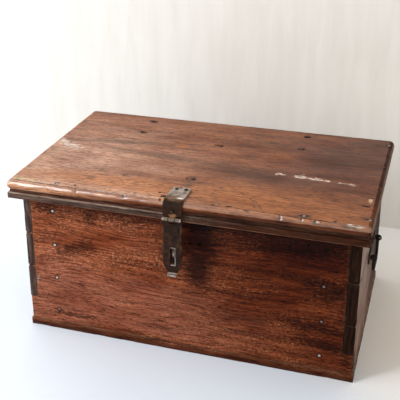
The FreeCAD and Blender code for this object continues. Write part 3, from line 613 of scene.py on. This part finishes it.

# %% [markdown]
# ## The lid's and the front's wood
#
# The boards are of one timber, and use made them differ. The lid was wiped and leaned on, so it is paler
# and has a satin shine, its nose was gripped until it shone as if waxed, and the front kept its dark red.
# A photograph of each board could be laid on instead, but it would bring its own light along. So each board
# is the same wood function with its own tones, marks and gloss. Some marks are painted light and shade:
# both boards paler at the left and darker at the right, a painted highlight along the lid's front, painted
# shade down the nose, painted shadows under the lip and of the hasp, and pale flecks of painted highlight.

# %% Layers of marks
lid_layers = [
    # Painted light: paler at the left
    ((lid_painted_light_left, 0.6, 0.7, 60), "#f0c2a6", 0.6, "MIX"),
    # Painted highlight along the front at the left
    ((lid_front_painted_highlight, 0.5, 0.6, 40), "#f6ccb4", 0.5, "MIX"),
    ((lid_warm, 0.6, 0.7, 40), "#d4843f", 0.62, "MIX"),
    # Painted shade: darker at the right
    ((lid_painted_shade_right, 0.3, 0.6, 40), "#ba9a7a", 0.8, "MULTIPLY"),
    ((lid_stains, 0.7, 0.8, 25), "#8f8680", 0.6, "MULTIPLY"),
    # Painted shade down the nose, darker at the right
    ((nose_painted_shade_foot, 0.15, 0.5, 20), "#855430", 0.9, "MULTIPLY"),
    ((nose_painted_shade_right, 0.4, 0.5, 30), "#8f5a30", 0.8, "MULTIPLY"),
    (("yellow", 1, 0.4, 9), "#f2d3a6", 0.95, "MIX"),
    (("fresh", 0.4, 0.3, 4), "#e09a4c", 0.95, "MIX"),
    (("bare", 1.6, 0.4, 6), "#f6e2d2", 0.95, "MIX"),
    (("cracks", 0.5, 0.3, 8), "#2a1710", 0.8, "MIX"),
    (("holes", 0.5, 0.35, 5), "#22130d", 0.9, "MIX"),
]
nose_layers = lid_layers[2:] + [
    # Painted light at the nose's left corner
    ((nose_left_painted_light, 0.4, 0.6, 30), "#eab48c", 0.8, "MIX"),
    # Painted shade on the nose's foot at the right
    ((nose_foot_painted_shade_right, 0.3, 0.4, 30), "#8a6238", 0.95, "MULTIPLY"),
    ((lid_right_edge, 0.3, 0.5, 30), "#75634f", 0.85, "MULTIPLY"),
]
front_layers = [
    # Painted light: pink sheen low down and at the left
    ((front_pink_painted_light, 0.5, 0.5, 30), "#b0705a", 0.45, "MIX"),
    # Painted shade: darker at the right
    ((front_painted_shade_right, 0.4, 0.6, 40), "#9c7a48", 0.85, "MULTIPLY"),
    # Darker wood and painted shade at the top right, under the lid
    ((front_top_dark_and_painted_shade, 0.6, 0.6, 25), "#9a723c", 0.75, "MULTIPLY"),
    # Painted shadow under the lip moulding
    ((front_lip_painted_shadow, 0.5, 0.6, 20), "#9c7652", 0.9, "MULTIPLY"),
    # Painted shade behind the hasp's slot
    ((front_slot_painted_shade, 0.3, 0.4, 6), "#1e120b", 0.9, "MIX"),
    # Painted shadow of the hasp plate to its right
    ((front_hasp_painted_shadow, 1, 0.6, 12), "#4a3225", 0.85, "MULTIPLY"),
    # Stains, and a painted shadow under the lip at the right
    ((front_stains_and_lip_shadow, 2.4, 0.3, 6), "#5c463a", 0.68, "MULTIPLY"),
    ((front_nail_rings, 0.5, 0.4, 4), "#4a2c1e", 0.75, "MULTIPLY"),
    ((front_foot, 0.4, 0.4, 30), "#665046", 0.9, "MULTIPLY"),
    ((bottom_joint, 0.5, 0.4, 20), "#2a160d", 0.75, "MIX"),
    ((front_filler, 0.5, 0.4, 4), "#a89e90", 0.75, "MIX"),
    ((front_holes, 0.2, 0.2, 3), "#120a07", 0.95, "MIX"),
]
print("mark layers:", len(lid_layers), "on the lid,", len(front_layers), "on the front")

# %% Lid and front wood
lid_tones = ["#7b4325", "#9f5f38", "#af6d44", "#be7c52"]
LID_GRAIN = {"fibre": (55.0, 1.8, 1.0), "pore": (8.0, 1.3, 0.9), "blotch": 0.6, "furrow": "#978880"}
# Oiled hardwood lid: warm red brown, rubbed to a satin shine
lid_wood = wood("oiled_hardwood_lid", "X", lid_tones, lid_layers,
                worn_tone="#b06c46", worn_share=0.5, polish=0.1, sheen=0.3, gloss=(0.4, 0.56), **LID_GRAIN)
# The lid's nose, waxed by a hundred years of hands: the same wood with a shine on it
nose_wood = wood("waxed_hardwood_nose", "X", lid_tones, nose_layers,
                 worn_tone="#c8875e", worn_share=0.6, polish=0.15, sheen=0.4, gloss=(0.32, 0.48),
                 wax=0.9, **LID_GRAIN)
# The nose's lower half, out of reach of the hands: the same wood, dull, and darker from painted shade
nose_foot_wood = wood("dull_hardwood_nose_foot", "X", lid_tones, nose_layers,
                      worn_tone="#b06c46", worn_share=0.2, sheen=0.08, gloss=(0.5, 0.7), **LID_GRAIN)
# Oiled hardwood front: deeper red, less handled, open grain holding dust
front_wood = wood("oiled_hardwood_front", "X", ["#532410", "#834021", "#9d5230", "#b26642"], front_layers,
                  flecks="#d29c78", worn_tone="#7a4a30", worn_share=0.3, sheen=0.06, gloss=(0.42, 0.6),
                  streak=9.0, fibre=(58.0, 1.8, 0.95), pore=(7.0, 1.4, 0.8), blotch=0.4, furrow="#7d685c")
print("lid and front wood made")

# %% Wood of the ends, the back and the inside
# The same timber on the ends, grain from front to back, with a painted sheen near the front corners
# and painted shade towards the back, which is also dull
end_painted_sheen = (on_ends(-135.0, 185.0, 62.0, 85.0), 0.9, 0.9, 30.0)
end_back_painted_shade = (on_ends(142.0, 110.0, 110.0, 400.0), 0.5, 0.6, 30.0)
end_wood = wood("oiled_hardwood_end", "Y", ["#472113", "#6a3821", "#834e33", "#996547"],
                [(end_painted_sheen, "#a98878", 0.4, "MIX"), (end_back_painted_shade, "#4a352a", 0.85, "MULTIPLY")],
                flecks="#96705a", worn_tone="#a2755a", sheen=0.4, gloss=(0.36, 0.55), streak=12.0,
                dry=end_back_painted_shade)
# The back board: the same timber, never polished
back_wood = wood("unpolished_hardwood", "X", ["#4a2a1b", "#67402b", "#7b5139", "#8d6247"],
                 worn_tone="#96704f", sheen=0.3, gloss=(0.6, 0.8))
# Inner faces and corner blocks: dry wood that never saw oil or light
INSIDE = {"tones": ["#5d3b27", "#7a533a", "#8f674b", "#a27b5d"], "worn_tone": "#a98666", "sheen": 0.25,
          "gloss": (0.7, 0.85)}
inside_wood = wood("dry_inside_wood", "X", **INSIDE)
block_wood = wood("dry_corner_block", "Z", **INSIDE)
print("wood of the ends, the back and the inside made")

# %% [markdown]
# ## Dirty edges
#
# Dirt gathers where a cloth doesn't reach: in the groove under the nose, on the lip mouldings, and in the
# cut ends of the fibres at the corners. They could be plain dark paint, but wood still shows through dirt.
# So they are the same wood function with darker tones, narrow streaks and almost no sheen. Their layers also
# paint light: a shadow line under the nose, a highlight and a reflection on the lip mouldings, and shade on
# the tails at the right.

# %% Wood of the mouldings and the end grain
# Quirk under the nose: a groove full of old dirt, with reddish lines of cleaner wood along it, and a
# painted shadow line under the nose
quirk_wood = wood("dirty_lid_quirk_and_painted_shadow", "X", ["#2c1b13", "#503128", "#704a3a", "#96674f"],
                  [(([band(220.6, 1.2)], 0.4, 0.4, 20.0), "#150b06", 0.9, "MIX"),
                   ((quirk_right, 0.3, 0.5, 20.0), "#9a9480", 0.95, "MULTIPLY")],
                  worn_tone="#7a5644", worn_share=0.4, sheen=0.06, gloss=(0.45, 0.65), streak=1.6)
# Lip mouldings: grey brown with dirt, a painted highlight along the upper arris, a painted reddish
# reflection along the foot, and dark orange brown towards the right
moulding_warm = [band(210.0, 9.0, 220.0, 235.0)]
moulding_layers = [
    ((moulding_warm, 0.6, 0.6, 30.0), "#42210e", 0.95, "MIX"),
    # Painted highlight on the upper arris
    (([band(215.2, 1.4, -150.0, 150.0)], 0.6, 0.5, 20.0), "#c6b2a4", 0.85, "MIX"),
    # Painted reddish reflection on the foot
    (([band(206.2, 1.4, -60.0, 300.0)], 0.6, 0.5, 20.0), "#a87458", 0.8, "MIX"),
]
moulding_tones = ["#30241f", "#4e3e36", "#68564c", "#847066"]
MOULDING = {"tones": moulding_tones, "layers": moulding_layers, "flecks": "#8d7768", "worn_tone": "#8a6a55",
            "worn_share": 0.4, "sheen": 0.06, "gloss": (0.45, 0.65), "streak": 3.0}
moulding_wood = wood("dirty_moulding_with_painted_light", "X", **MOULDING)
side_moulding_wood = wood("dirty_side_moulding_with_painted_light", "Y", **MOULDING)
# End grain: the cut ends of the fibres soak up dirt and turn dark grey brown
# Painted shade: the tails at the right end darker, where less light falls
right_tails_painted_shade = [on_front(217.0, 120.0, 30.0, 130.0)]
tail_joints = [band(z, 2.6, 217.0, 30.0) for z in (84.5, 144.5)]
wall_end_grain = wood("dark_wall_end_grain", "Z", ["#2d2320", "#4b3c38", "#66554f", "#806e67"],
                      [((right_tails_painted_shade, 0.3, 0.3, 20.0), "#6e4a2a", 0.95, "MULTIPLY"),
                       ((tail_joints, 0.3, 0.3, 10.0), "#1a100b", 0.85, "MIX")],
                      worn_tone="#4a3a30", worn_share=0.1, sheen=0.04, gloss=(0.55, 0.75), streak=3.0)
lid_end_grain = wood("dark_lid_end_grain", "Y", ["#422a1d", "#5e3d2b", "#77523c", "#8c674d"],
                     worn_tone="#96704f", worn_share=0.4, sheen=0.25, gloss=(0.5, 0.7), streak=3.0)
print("wood of the mouldings and the end grain made")

# %% [markdown]
# ## Forged iron and nails
#
# The hasp, the hinges and the handles are smith's iron. Its oxide skin is brown black and dull, with rust
# in patches. Where fingers and the staple rub it, bare metal shows grey. So the skin is a dielectric and the
# rubbed arrises are metal, and one mask moves both the colour and the metallic value between the two.

# %% Iron finish
# Sizes of the iron's own pattern in mm
HAMMER_MARK = 7.0
RUST_PATCH = 13.0
RUB_PATCH = 9.0
HAMMER_RELIEF = 0.8


def iron(name, skin, rust, bare, rust_share, rub_from, everywhere=False, layers=()):
    """Old iron: oxide skin, rust patches and metal rubbed bare, on the arrises only or everywhere."""
    material, tree, place = new_finish(name)
    hammered = add(tree, "TexNoise", {"Vector": place, "Scale": 1.0 / (HAMMER_MARK * MM), "Detail": 3.0})
    colour = add(tree, "ValToRGB", {"Fac": hammered}, [(0.3, shade(skin[0])), (0.7, shade(skin[1]))])
    rusting = add(tree, "TexNoise", {"Vector": place, "Scale": 1.0 / (RUST_PATCH * MM), "Detail": 4.0,
                                     "Roughness": 0.65})
    rust_mask = add(tree, "MapRange", {"Value": rusting, "From Min": 0.52, "From Max": 0.72,
                                       "To Max": rust_share})
    colour = add(tree, "Mix", {"Factor": rust_mask, "A": colour, "B": shade(rust)}, data_type="RGBA")
    rub = add(tree, "TexNoise", {"Vector": place, "Scale": 1.0 / (RUB_PATCH * MM), "Detail": 2.0})
    bare_mask = add(tree, "MapRange", {"Value": rub, "From Min": rub_from, "From Max": rub_from + 0.2})
    if not everywhere:
        worn = add(tree, "Attribute", attribute_name="worn").outputs["Fac"]
        bare_mask = add(tree, "Math", {0: bare_mask, 1: worn}, operation="MULTIPLY")
    colour = add(tree, "Mix", {"Factor": bare_mask, "A": colour, "B": shade(bare)}, data_type="RGBA")
    colour = lay_marks(tree, place, colour, layers)
    dull = add(tree, "MapRange", {"Value": bare_mask, "To Min": 0.6, "To Max": 0.36})
    relief = add(tree, "Bump", {"Height": hammered, "Strength": 0.35, "Distance": HAMMER_RELIEF * MM})
    shader = add(tree, "BsdfPrincipled", {"Base Color": colour, "Metallic": bare_mask, "Roughness": dull,
                                          "Normal": relief, "Specular IOR Level": 0.12})
    close_finish(tree, shader)
    return material


print("iron finish ready")

# %% Iron and nail finishes
STRAP_FACE = -166.0
PIN_HEIGHT = 210.0
KNUCKLE_HALF = 3.6
# Forged iron under an oxide skin: brown black and dull, grey where it is rubbed, brighter at the strap's
# bend, with a painted glint there
hasp_rust = [oval((-4.0, STRAP_FACE, 215.5), (4.6, FRONT_REACH, 2.8))]
hasp_bend = [on_lid(-5.0, -154.0, 12.0, 6.0, half_z=6.0)]
hasp_glint = [on_lid(2.0, -153.5, 4.6, 2.0, half_z=8.0)]
hasp_iron = iron("forged_hasp_iron", ["#170c06", "#301b0e"], "#5f3a20", "#6e5542", 0.4, 0.5,
                 layers=[((hasp_rust, 1.2, 0.5, 4.0), "#a9764f", 0.6, "MIX"),
                         ((hasp_bend, 0.8, 0.6, 8.0), "#876852", 0.8, "MIX"),
                         ((hasp_glint, 0.3, 0.4, 4.0), "#efe9e2", 0.9, "MIX")])
# The same iron where the lid is opened and the plate swings: rubbed to grey metal
knuckle_gaps = [band(PIN_HEIGHT, KNUCKLE_HALF, x, 0.8) for x in (-9.3, -0.7)]
rubbed_iron = iron("rubbed_hasp_iron", ["#5c4e44", "#806f62"], "#7d5f4b", "#ada096", 0.3, 0.4,
                   everywhere=True, layers=[((knuckle_gaps, 0.1, 0.3, 3.0), "#1a100a", 0.85, "MIX")])
# Handle iron hangs in the shade and is hardly rubbed
handle_iron = iron("forged_handle_iron", ["#17110d", "#2c211b"], "#4f3626", "#7d746c", 0.4, 0.5)
# Hinge iron at the back, never handled, is the rustiest
hinge_iron = iron("rusty_hinge_iron", ["#22160f", "#3a291e"], "#6a4128", "#85786d", 0.8, 0.5)
# Wall nails: steel heads rubbed to a dull bright grey
HEAD_REACH = 5.0
DIRTY_WALL_HEADS = ((-1, 0), (1, 1), (1, 2))
dirty_nails = [on_front(side * NAIL_COLUMN, NAIL_HEIGHTS[row], HEAD_REACH, HEAD_REACH)
               for side, row in DIRTY_WALL_HEADS]
nail_steel = iron("dull_nail_steel", ["#85827b", "#bab7af"], "#6a5648", "#bdbab2", 0.5, 0.36,
                  layers=[((dirty_nails, 0.3, 0.3, 4.0), "#4a382c", 0.75, "MIX")])
# Lid nails: flush heads, dark with dirt and bright at the rim
DIRTY_LID_HEADS = [(x, y) for x in (-230.15, 230.15) for y in (-57.3, 25.3)]
dirty_lid_nails = [on_lid(x, y, HEAD_REACH, HEAD_REACH) for x, y in DIRTY_LID_HEADS]
lid_nail_steel = iron("dirty_nail_steel", ["#6b6057", "#a39a90"], "#5a4030", "#b3aca2", 0.5, 0.45,
                      layers=[((dirty_lid_nails, 0.3, 0.3, 4.0), "#3a2a20", 0.85, "MIX")])
print("iron finishes made")

# %% [markdown]
# ## Ageing a piece
#
# A CAD mesh is perfectly flat and sharp. To age it, its triangles are merged back into whole faces, and its
# arrises are rounded with a bevel, whose new faces are remembered in a layer called arris. Then the faces
# are sliced into cells, the vertices of an arris are marked as worn, and every vertex is sunk a little along
# its normal by a smooth noise: waves on the flats, nicks on the edges. A displacement texture could do that
# too, but here everything must move inwards, so that no piece grows into another.

# %% Ageing helpers
# How close vertices are merged, in metres, and how often the noises repeat in a metre
SAME_PLACE = 2e-6
WAVES = 24.0
NICKS = 95.0
CRUMBS = 300.0
SEED_STEPS = (3.7, 1.3, 2.1)
# How much crumbs break up a dent, how steep and how full it is, and the furthest that paint writes down
CRUMB_SHARE = 0.35
DENT_STEEP = 1.6
DENT_FULL = 0.6
MOST_AWAY = 3.0


def whole_copy(node):
    """A copy of a CAD node's mesh with its triangles merged into whole faces."""
    bm = bmesh.new()
    bm.from_mesh(frame["nodes"][node].data)
    bmesh.ops.remove_doubles(bm, verts=bm.verts, dist=SAME_PLACE)
    bmesh.ops.dissolve_limit(bm, angle_limit=math.radians(1.0), verts=bm.verts, edges=bm.edges)
    bm.verts.layers.float.new("worn")
    bm.faces.layers.int.new("arris")
    return bm


def ease(bm, width, shortest=4.0, segments=2, steep=35.0):
    """Rounds the sharp outer arrises longer than the shortest and marks them as worn. Sizes in mm."""
    edges = [e for e in bm.edges if e.is_manifold and e.is_convex
             and e.calc_face_angle() > math.radians(steep) and e.calc_length() > shortest * MM]
    made = bmesh.ops.bevel(bm, geom=edges, offset=width * MM, offset_type="OFFSET", affect="EDGES",
                           segments=segments, profile=0.5, material=-1, clamp_overlap=True)
    arris = bm.faces.layers.int["arris"]
    for face in made["faces"]:
        face[arris] = 1


def slice_up(bm, axis, step):
    """Cuts the whole mesh into slices about that many mm thick along an axis."""
    places = [vert.co[axis] for vert in bm.verts]
    low, high = min(places), max(places)
    count = max(1, round((high - low) / (step * MM)))
    normal = Vector((0.0, 0.0, 0.0))
    normal[axis] = 1.0
    for index in range(1, count):
        everything = bm.verts[:] + bm.edges[:] + bm.faces[:]
        bmesh.ops.bisect_plane(bm, geom=everything, dist=SAME_PLACE, plane_no=normal,
                               plane_co=normal * (low + (high - low) * index / count))


def refine(bm, marks, spread=1.5):
    """Halves the cells at the marks, on the side that each mark is seen from."""
    near = set()
    for edge in bm.edges:
        middle = (edge.verts[0].co + edge.verts[1].co) / 2
        facing = all(vert.normal.dot(marks[0]["inward"]) < -0.3 for vert in edge.verts)
        if facing and any(reach(mark, middle) < spread for mark in marks):
            near.add(edge)
    bmesh.ops.subdivide_edges(bm, edges=list(near), cuts=1, use_grid_fill=True)


def paint(bm, name, marks):
    """Writes how near each vertex is to a group of marks into the mesh, for the finish to read."""
    layer = bm.verts.layers.float.new(name)
    for vert in bm.verts:
        vert[layer] = min(MOST_AWAY, min(reach(mark, vert.co) for mark in marks))


def dent(bm, marks):
    """Sinks the mesh at each mark, deepest in its middle, with a ragged floor."""
    for vert in bm.verts:
        if vert.normal.dot(marks[0]["inward"]) > -0.2:
            continue
        for mark in marks:
            away = reach(mark, vert.co) + CRUMB_SHARE * noise.noise(vert.co * CRUMBS)
            if away < 1.0:
                share = min(1.0, DENT_STEEP * (1.0 - away) ** DENT_FULL)
                vert.co += mark["inward"] * mark["depth"] * share


def weather(bm, wave, nick, seed):
    """Sinks every vertex along its normal: waves on the flats, nicks on worn edges. Depths in mm."""
    worn = bm.verts.layers.float["worn"]
    arris = bm.faces.layers.int["arris"]
    bm.normal_update()
    for vert in bm.verts:
        if any(face[arris] for face in vert.link_faces):
            vert[worn] = 1.0
    shift = Vector([seed * step for step in SEED_STEPS])
    moves = []
    for vert in bm.verts:
        broad = 0.5 + 0.5 * noise.noise(vert.co * WAVES + shift)
        sharp = max(0.0, noise.noise(vert.co * NICKS + shift)) ** 1.5
        moves.append(vert.normal * (wave * broad + nick * sharp * vert[worn]) * MM)
    for vert, move in zip(bm.verts, moves):
        vert.co -= move


def set_piece(bm, node, finishes, sharp=40.0):
    """Makes the aged mesh an object that stands for the CAD node and rides on its body."""
    bm.normal_update()
    for face in bm.faces:
        face.smooth = True
    for edge in bm.edges:
        edge.smooth = edge.is_manifold and edge.calc_face_angle() < math.radians(sharp)
    mesh = bpy.data.meshes.new(node + "_aged")
    for finish in finishes:
        mesh.materials.append(finish)
    bm.to_mesh(mesh)
    count = sum(len(face.verts) - 2 for face in bm.faces)
    bm.free()
    piece = bpy.data.objects.new(node + "_aged", mesh)
    scene.collection.objects.link(piece)
    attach(piece, body_of[node])
    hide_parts(node)
    print(node, "aged,", count, "triangles")


def face_finish(bm, rule):
    """Gives each face the finish number that the rule finds for its normal and its middle."""
    bm.normal_update()
    for face in bm.faces:
        face.material_index = rule(face.normal, face.calc_center_median())


print("ageing helpers ready")

# %% [markdown]
# ## The walls and the bottom
#
# Front and back boards run between the ends, and the tails of the end boards show through at the corners as
# dark end grain. Each face of a board gets the finish it has in life: polished outside, dry inside, and end
# grain where the saw crossed the fibres. The normal of a face tells which of the three it is.

# %% Faces of the walls
FACING = 0.7
LEFT_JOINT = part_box("left_end_board")[1][0]
RIGHT_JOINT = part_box("right_end_board")[0][0]
TAIL_FOOT = 47.0 * MM
JOINT_EDGE = 0.5 * MM
TAIL_END = 138.9 * MM


def looks_inward(normal, middle):
    """Whether a face at the left or the right looks back towards the chest's middle."""
    return normal.x * middle.x < -0.1 * abs(middle.x)


def front_rule(normal, middle):
    """Front board: outside, inside, and end grain, which the dirty pins between the tails look like."""
    in_joint = middle.x < LEFT_JOINT - JOINT_EDGE or middle.x > RIGHT_JOINT + JOINT_EDGE
    if abs(normal.x) > FACING or (in_joint and middle.z > TAIL_FOOT):
        return 2
    return 1 if normal.y > FACING else 0


def back_rule(normal, middle):
    """Back board: outside, inside, end grain."""
    if abs(normal.x) > FACING:
        return 2
    return 1 if normal.y < -FACING else 0


def end_rule(normal, middle):
    """End boards: outside, inside, end grain, which goes round the arrises of the tails."""
    if abs(normal.y) > FACING or (abs(middle.y) > TAIL_END and abs(normal.x) < FACING):
        return 2
    return 1 if looks_inward(normal, middle) else 0


def bottom_rule(normal, middle):
    """Bottom board: outside, inside, end grain."""
    if abs(normal.x) > FACING:
        return 2
    return 1 if normal.z > FACING else 0


print("rules for the faces of the walls ready")

# %% Walls and bottom
BOARD_EASE = 0.8
BOARD_WEAR = (0.35, 1.2)
FRONT_CELL = 6.0
BOARD_CELL = 8.0

front = whole_copy("front_board")
ease(front, BOARD_EASE)
for axis in (0, 2):
    slice_up(front, axis, FRONT_CELL)
for halving in range(2):
    front.normal_update()
    refine(front, front_holes)
front.normal_update()
dent(front, front_holes)
face_finish(front, front_rule)
weather(front, *BOARD_WEAR, seed=1)
set_piece(front, "front_board", [front_wood, inside_wood, wall_end_grain])

boards = {"back_board": (back_rule, back_wood), "left_end_board": (end_rule, end_wood),
          "right_end_board": (end_rule, end_wood), "bottom_board": (bottom_rule, front_wood)}
for seed, (node, (rule, outside)) in enumerate(boards.items(), start=2):
    board = whole_copy(node)
    ease(board, BOARD_EASE)
    for axis in range(3):
        slice_up(board, axis, BOARD_CELL)
    face_finish(board, rule)
    weather(board, *BOARD_WEAR, seed)
    set_piece(board, node, [outside, inside_wood, wall_end_grain])

# %% [markdown]
# ## The lid
#
# The lid is one thick board with a rounded nose all round. It carries most of the marks: flaked patches
# down to bare wood, old nail holes, a crack along the nose and nicks in it. The cells are halved twice round
# every mark before the mesh is sunk there, so a chip has a real rim and not only a change of colour.

# %% Lid board
LID_EDGE = {"x": 236.5 * MM, "front": -164.0 * MM, "back": 132.0 * MM}
LID_CELL = 5.0
LID_WEAR = (0.4, 1.6)
NOSE_DEPTH = 6.5 * MM
NOSE_FOOT = 219.0 * MM
QUIRK_TOP = 219.6 * MM
QUIRK_DEPTH = 6.0 * MM
RUBBED_EDGE = 7.0 * MM
END_GRAIN_FROM = 0.75
NOSE_UPWARD = 0.25


def edge_distance(point):
    """How far a point of the lid is inside its outline."""
    return min(LID_EDGE["x"] - abs(point.x), point.y - LID_EDGE["front"], LID_EDGE["back"] - point.y)


def lid_rule(normal, middle):
    """Lid: polished top, waxed front nose, dull nose elsewhere, dry underside, end grain on the two ends,
    dirty quirk with a painted shadow line under the nose."""
    if abs(normal.x) > END_GRAIN_FROM:
        return 2
    if middle.z < QUIRK_TOP and edge_distance(middle) < QUIRK_DEPTH:
        return 3
    if edge_distance(middle) < NOSE_DEPTH:
        at_front = middle.y - LID_EDGE["front"] < NOSE_DEPTH
        return 4 if at_front and normal.z > NOSE_UPWARD else 5
    return 1 if normal.z < -FACING else 0


lid = whole_copy("lid_board")
for axis in (0, 1):
    slice_up(lid, axis, LID_CELL)
lid_groups = {"holes": lid_holes, "bare": lid_bare, "yellow": lid_yellow, "fresh": lid_fresh,
              "cracks": lid_cracks}
cut_marks = [mark for marks in lid_groups.values() for mark in marks]
for spread in (1.6, 1.3):
    lid.normal_update()
    refine(lid, cut_marks, spread)
lid.normal_update()
worn_layer = lid.verts.layers.float["worn"]
for vert in lid.verts:
    if vert.co.z > NOSE_FOOT:
        vert[worn_layer] = max(0.0, 1.0 - edge_distance(vert.co) / RUBBED_EDGE)
for name, marks in lid_groups.items():
    paint(lid, name, marks)
dent(lid, cut_marks)
face_finish(lid, lid_rule)
weather(lid, *LID_WEAR, seed=6)
set_piece(lid, "lid_board", [lid_wood, inside_wood, lid_end_grain, quirk_wood, nose_wood,
                             nose_foot_wood])

# %% [markdown]
# ## Lip mouldings and corner blocks
#
# Three dark strips under the lid close the gap to the walls, and four plain blocks stiffen the corners
# inside. They are small, so the bevel and a light weathering are enough.

# %% Mouldings and blocks
STRIP_EASE = 1.0
STRIP_WEAR = (0.3, 1.2)
STRIP_CELL = 5.0
STRIP_CELL_UPWARD = 2.5
BLOCK_WEAR = (0.3, 1.0)
BLOCK_CELL = 7.0
FRONT_STRIP_BACK = -139.0 * MM


def moulding_rule(normal, middle):
    """Mouldings: dirty outside, plain underneath and on the side towards the walls."""
    in_front = middle.y < FRONT_STRIP_BACK
    inner = normal.y > FACING if in_front else looks_inward(normal, middle)
    return 1 if normal.z < -FACING or inner else 0


for number, (node, finish) in enumerate({"lid_front_moulding": moulding_wood,
                                         "lid_left_moulding": side_moulding_wood,
                                         "lid_right_moulding": side_moulding_wood}.items()):
    strip = whole_copy(node)
    ease(strip, STRIP_EASE)
    slice_up(strip, 0 if number == 0 else 1, STRIP_CELL)
    slice_up(strip, 2, STRIP_CELL_UPWARD)
    face_finish(strip, moulding_rule)
    weather(strip, *STRIP_WEAR, 10 + number)
    set_piece(strip, node, [finish, back_wood])
for number, node in enumerate(["front_left_corner_block", "front_right_corner_block",
                               "back_left_corner_block", "back_right_corner_block"]):
    block = whole_copy(node)
    ease(block, BOARD_EASE)
    for axis in range(3):
        slice_up(block, axis, BLOCK_CELL)
    weather(block, *BLOCK_WEAR, 20 + number)
    set_piece(block, node, [block_wood])

# %% [markdown]
# ## Ironwork and nails
#
# The iron is thin, so its arrises are eased by half a millimetre only. Forging leaves it slightly uneven,
# and the weathering gives that too. Nail heads are eased in the same way, which makes each head a shallow
# dome that catches the light.

# %% Ironwork
IRON_NICK = 0.1


def age_iron(node, finishes, width, wave, seed, shortest=1.0, step=4.0, rule=None):
    """Eases, slices and weathers one iron piece."""
    bm = whole_copy(node)
    ease(bm, width, shortest)
    low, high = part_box(node)
    for axis in range(3):
        if high[axis] - low[axis] > 2.0 * step * MM:
            slice_up(bm, axis, step)
    if rule:
        face_finish(bm, rule)
    weather(bm, wave, IRON_NICK, seed)
    set_piece(bm, node, finishes)


print("iron ageing ready")

# %% Hasp, hinges and handles
HASP_MIDDLE = -5.0 * MM
STRAP_TOP = 229.5 * MM
STRAP_BEND = -150.5 * MM
KNUCKLE_BACK = -163.8 * MM
SLOT_HEIGHT = 158.75 * MM
SLOT_HALF = 12.5 * MM
SLOT_SIDES = (-1.5 * MM, 4.0 * MM)
LIP_TOP = 136.0 * MM


def hasp_rule(normal, middle):
    """Hasp: rubbed on top of the lid, on the knuckles, round the slot and on the plate's turned-out lip."""
    on_top = middle.z > STRAP_TOP and middle.y > STRAP_BEND
    at_pin = abs(middle.z - PIN_HEIGHT * MM) < KNUCKLE_HALF * MM
    on_knuckle = at_pin and middle.y < KNUCKLE_BACK and normal.z > 0.0
    beside_slot = SLOT_SIDES[0] < middle.x - HASP_MIDDLE < SLOT_SIDES[1]
    at_slot = beside_slot and abs(middle.z - SLOT_HEIGHT) < SLOT_HALF
    return 1 if on_top or on_knuckle or at_slot or middle.z < LIP_TOP else 0


for number, node in enumerate(["hasp_strap", "hasp_plate", "hasp_pin"]):
    age_iron(node, [hasp_iron, rubbed_iron], width=0.5, wave=0.12, seed=30 + number, step=2.0,
             rule=hasp_rule)
age_iron("hasp_staple", [rubbed_iron], width=0.4, wave=0.05, seed=34)
for number, side in enumerate(["left", "right"]):
    for piece in ["hinge_leaf", "hinge_strap", "hinge_pin"]:
        age_iron(side + "_" + piece, [hinge_iron], width=0.5, wave=0.1, seed=40 + number)
    for piece in ["handle_plate", "handle_front_eye", "handle_back_eye", "handle_bail"]:
        age_iron(side + "_" + piece, [handle_iron], width=0.4, wave=0.1, seed=50 + number)

# %% Nails
# Nails are eased at every arris, and are too small to be sliced
NAIL_WORK = {"wave": 0.03, "shortest": 0.1, "step": 500.0}
for number, node in enumerate(["front_nails", "back_nails", "bottom_nails"]):
    age_iron(node, [nail_steel], width=0.35, seed=60 + number, **NAIL_WORK)
age_iron("lid_moulding_nails", [lid_nail_steel], width=0.35, seed=64, **NAIL_WORK)
for node in ["hasp_strap_nails", "left_hinge_strap_nails", "right_hinge_strap_nails",
             "left_hinge_leaf_nails", "right_hinge_leaf_nails"]:
    age_iron(node, [hasp_iron], width=0.3, seed=66, **NAIL_WORK)
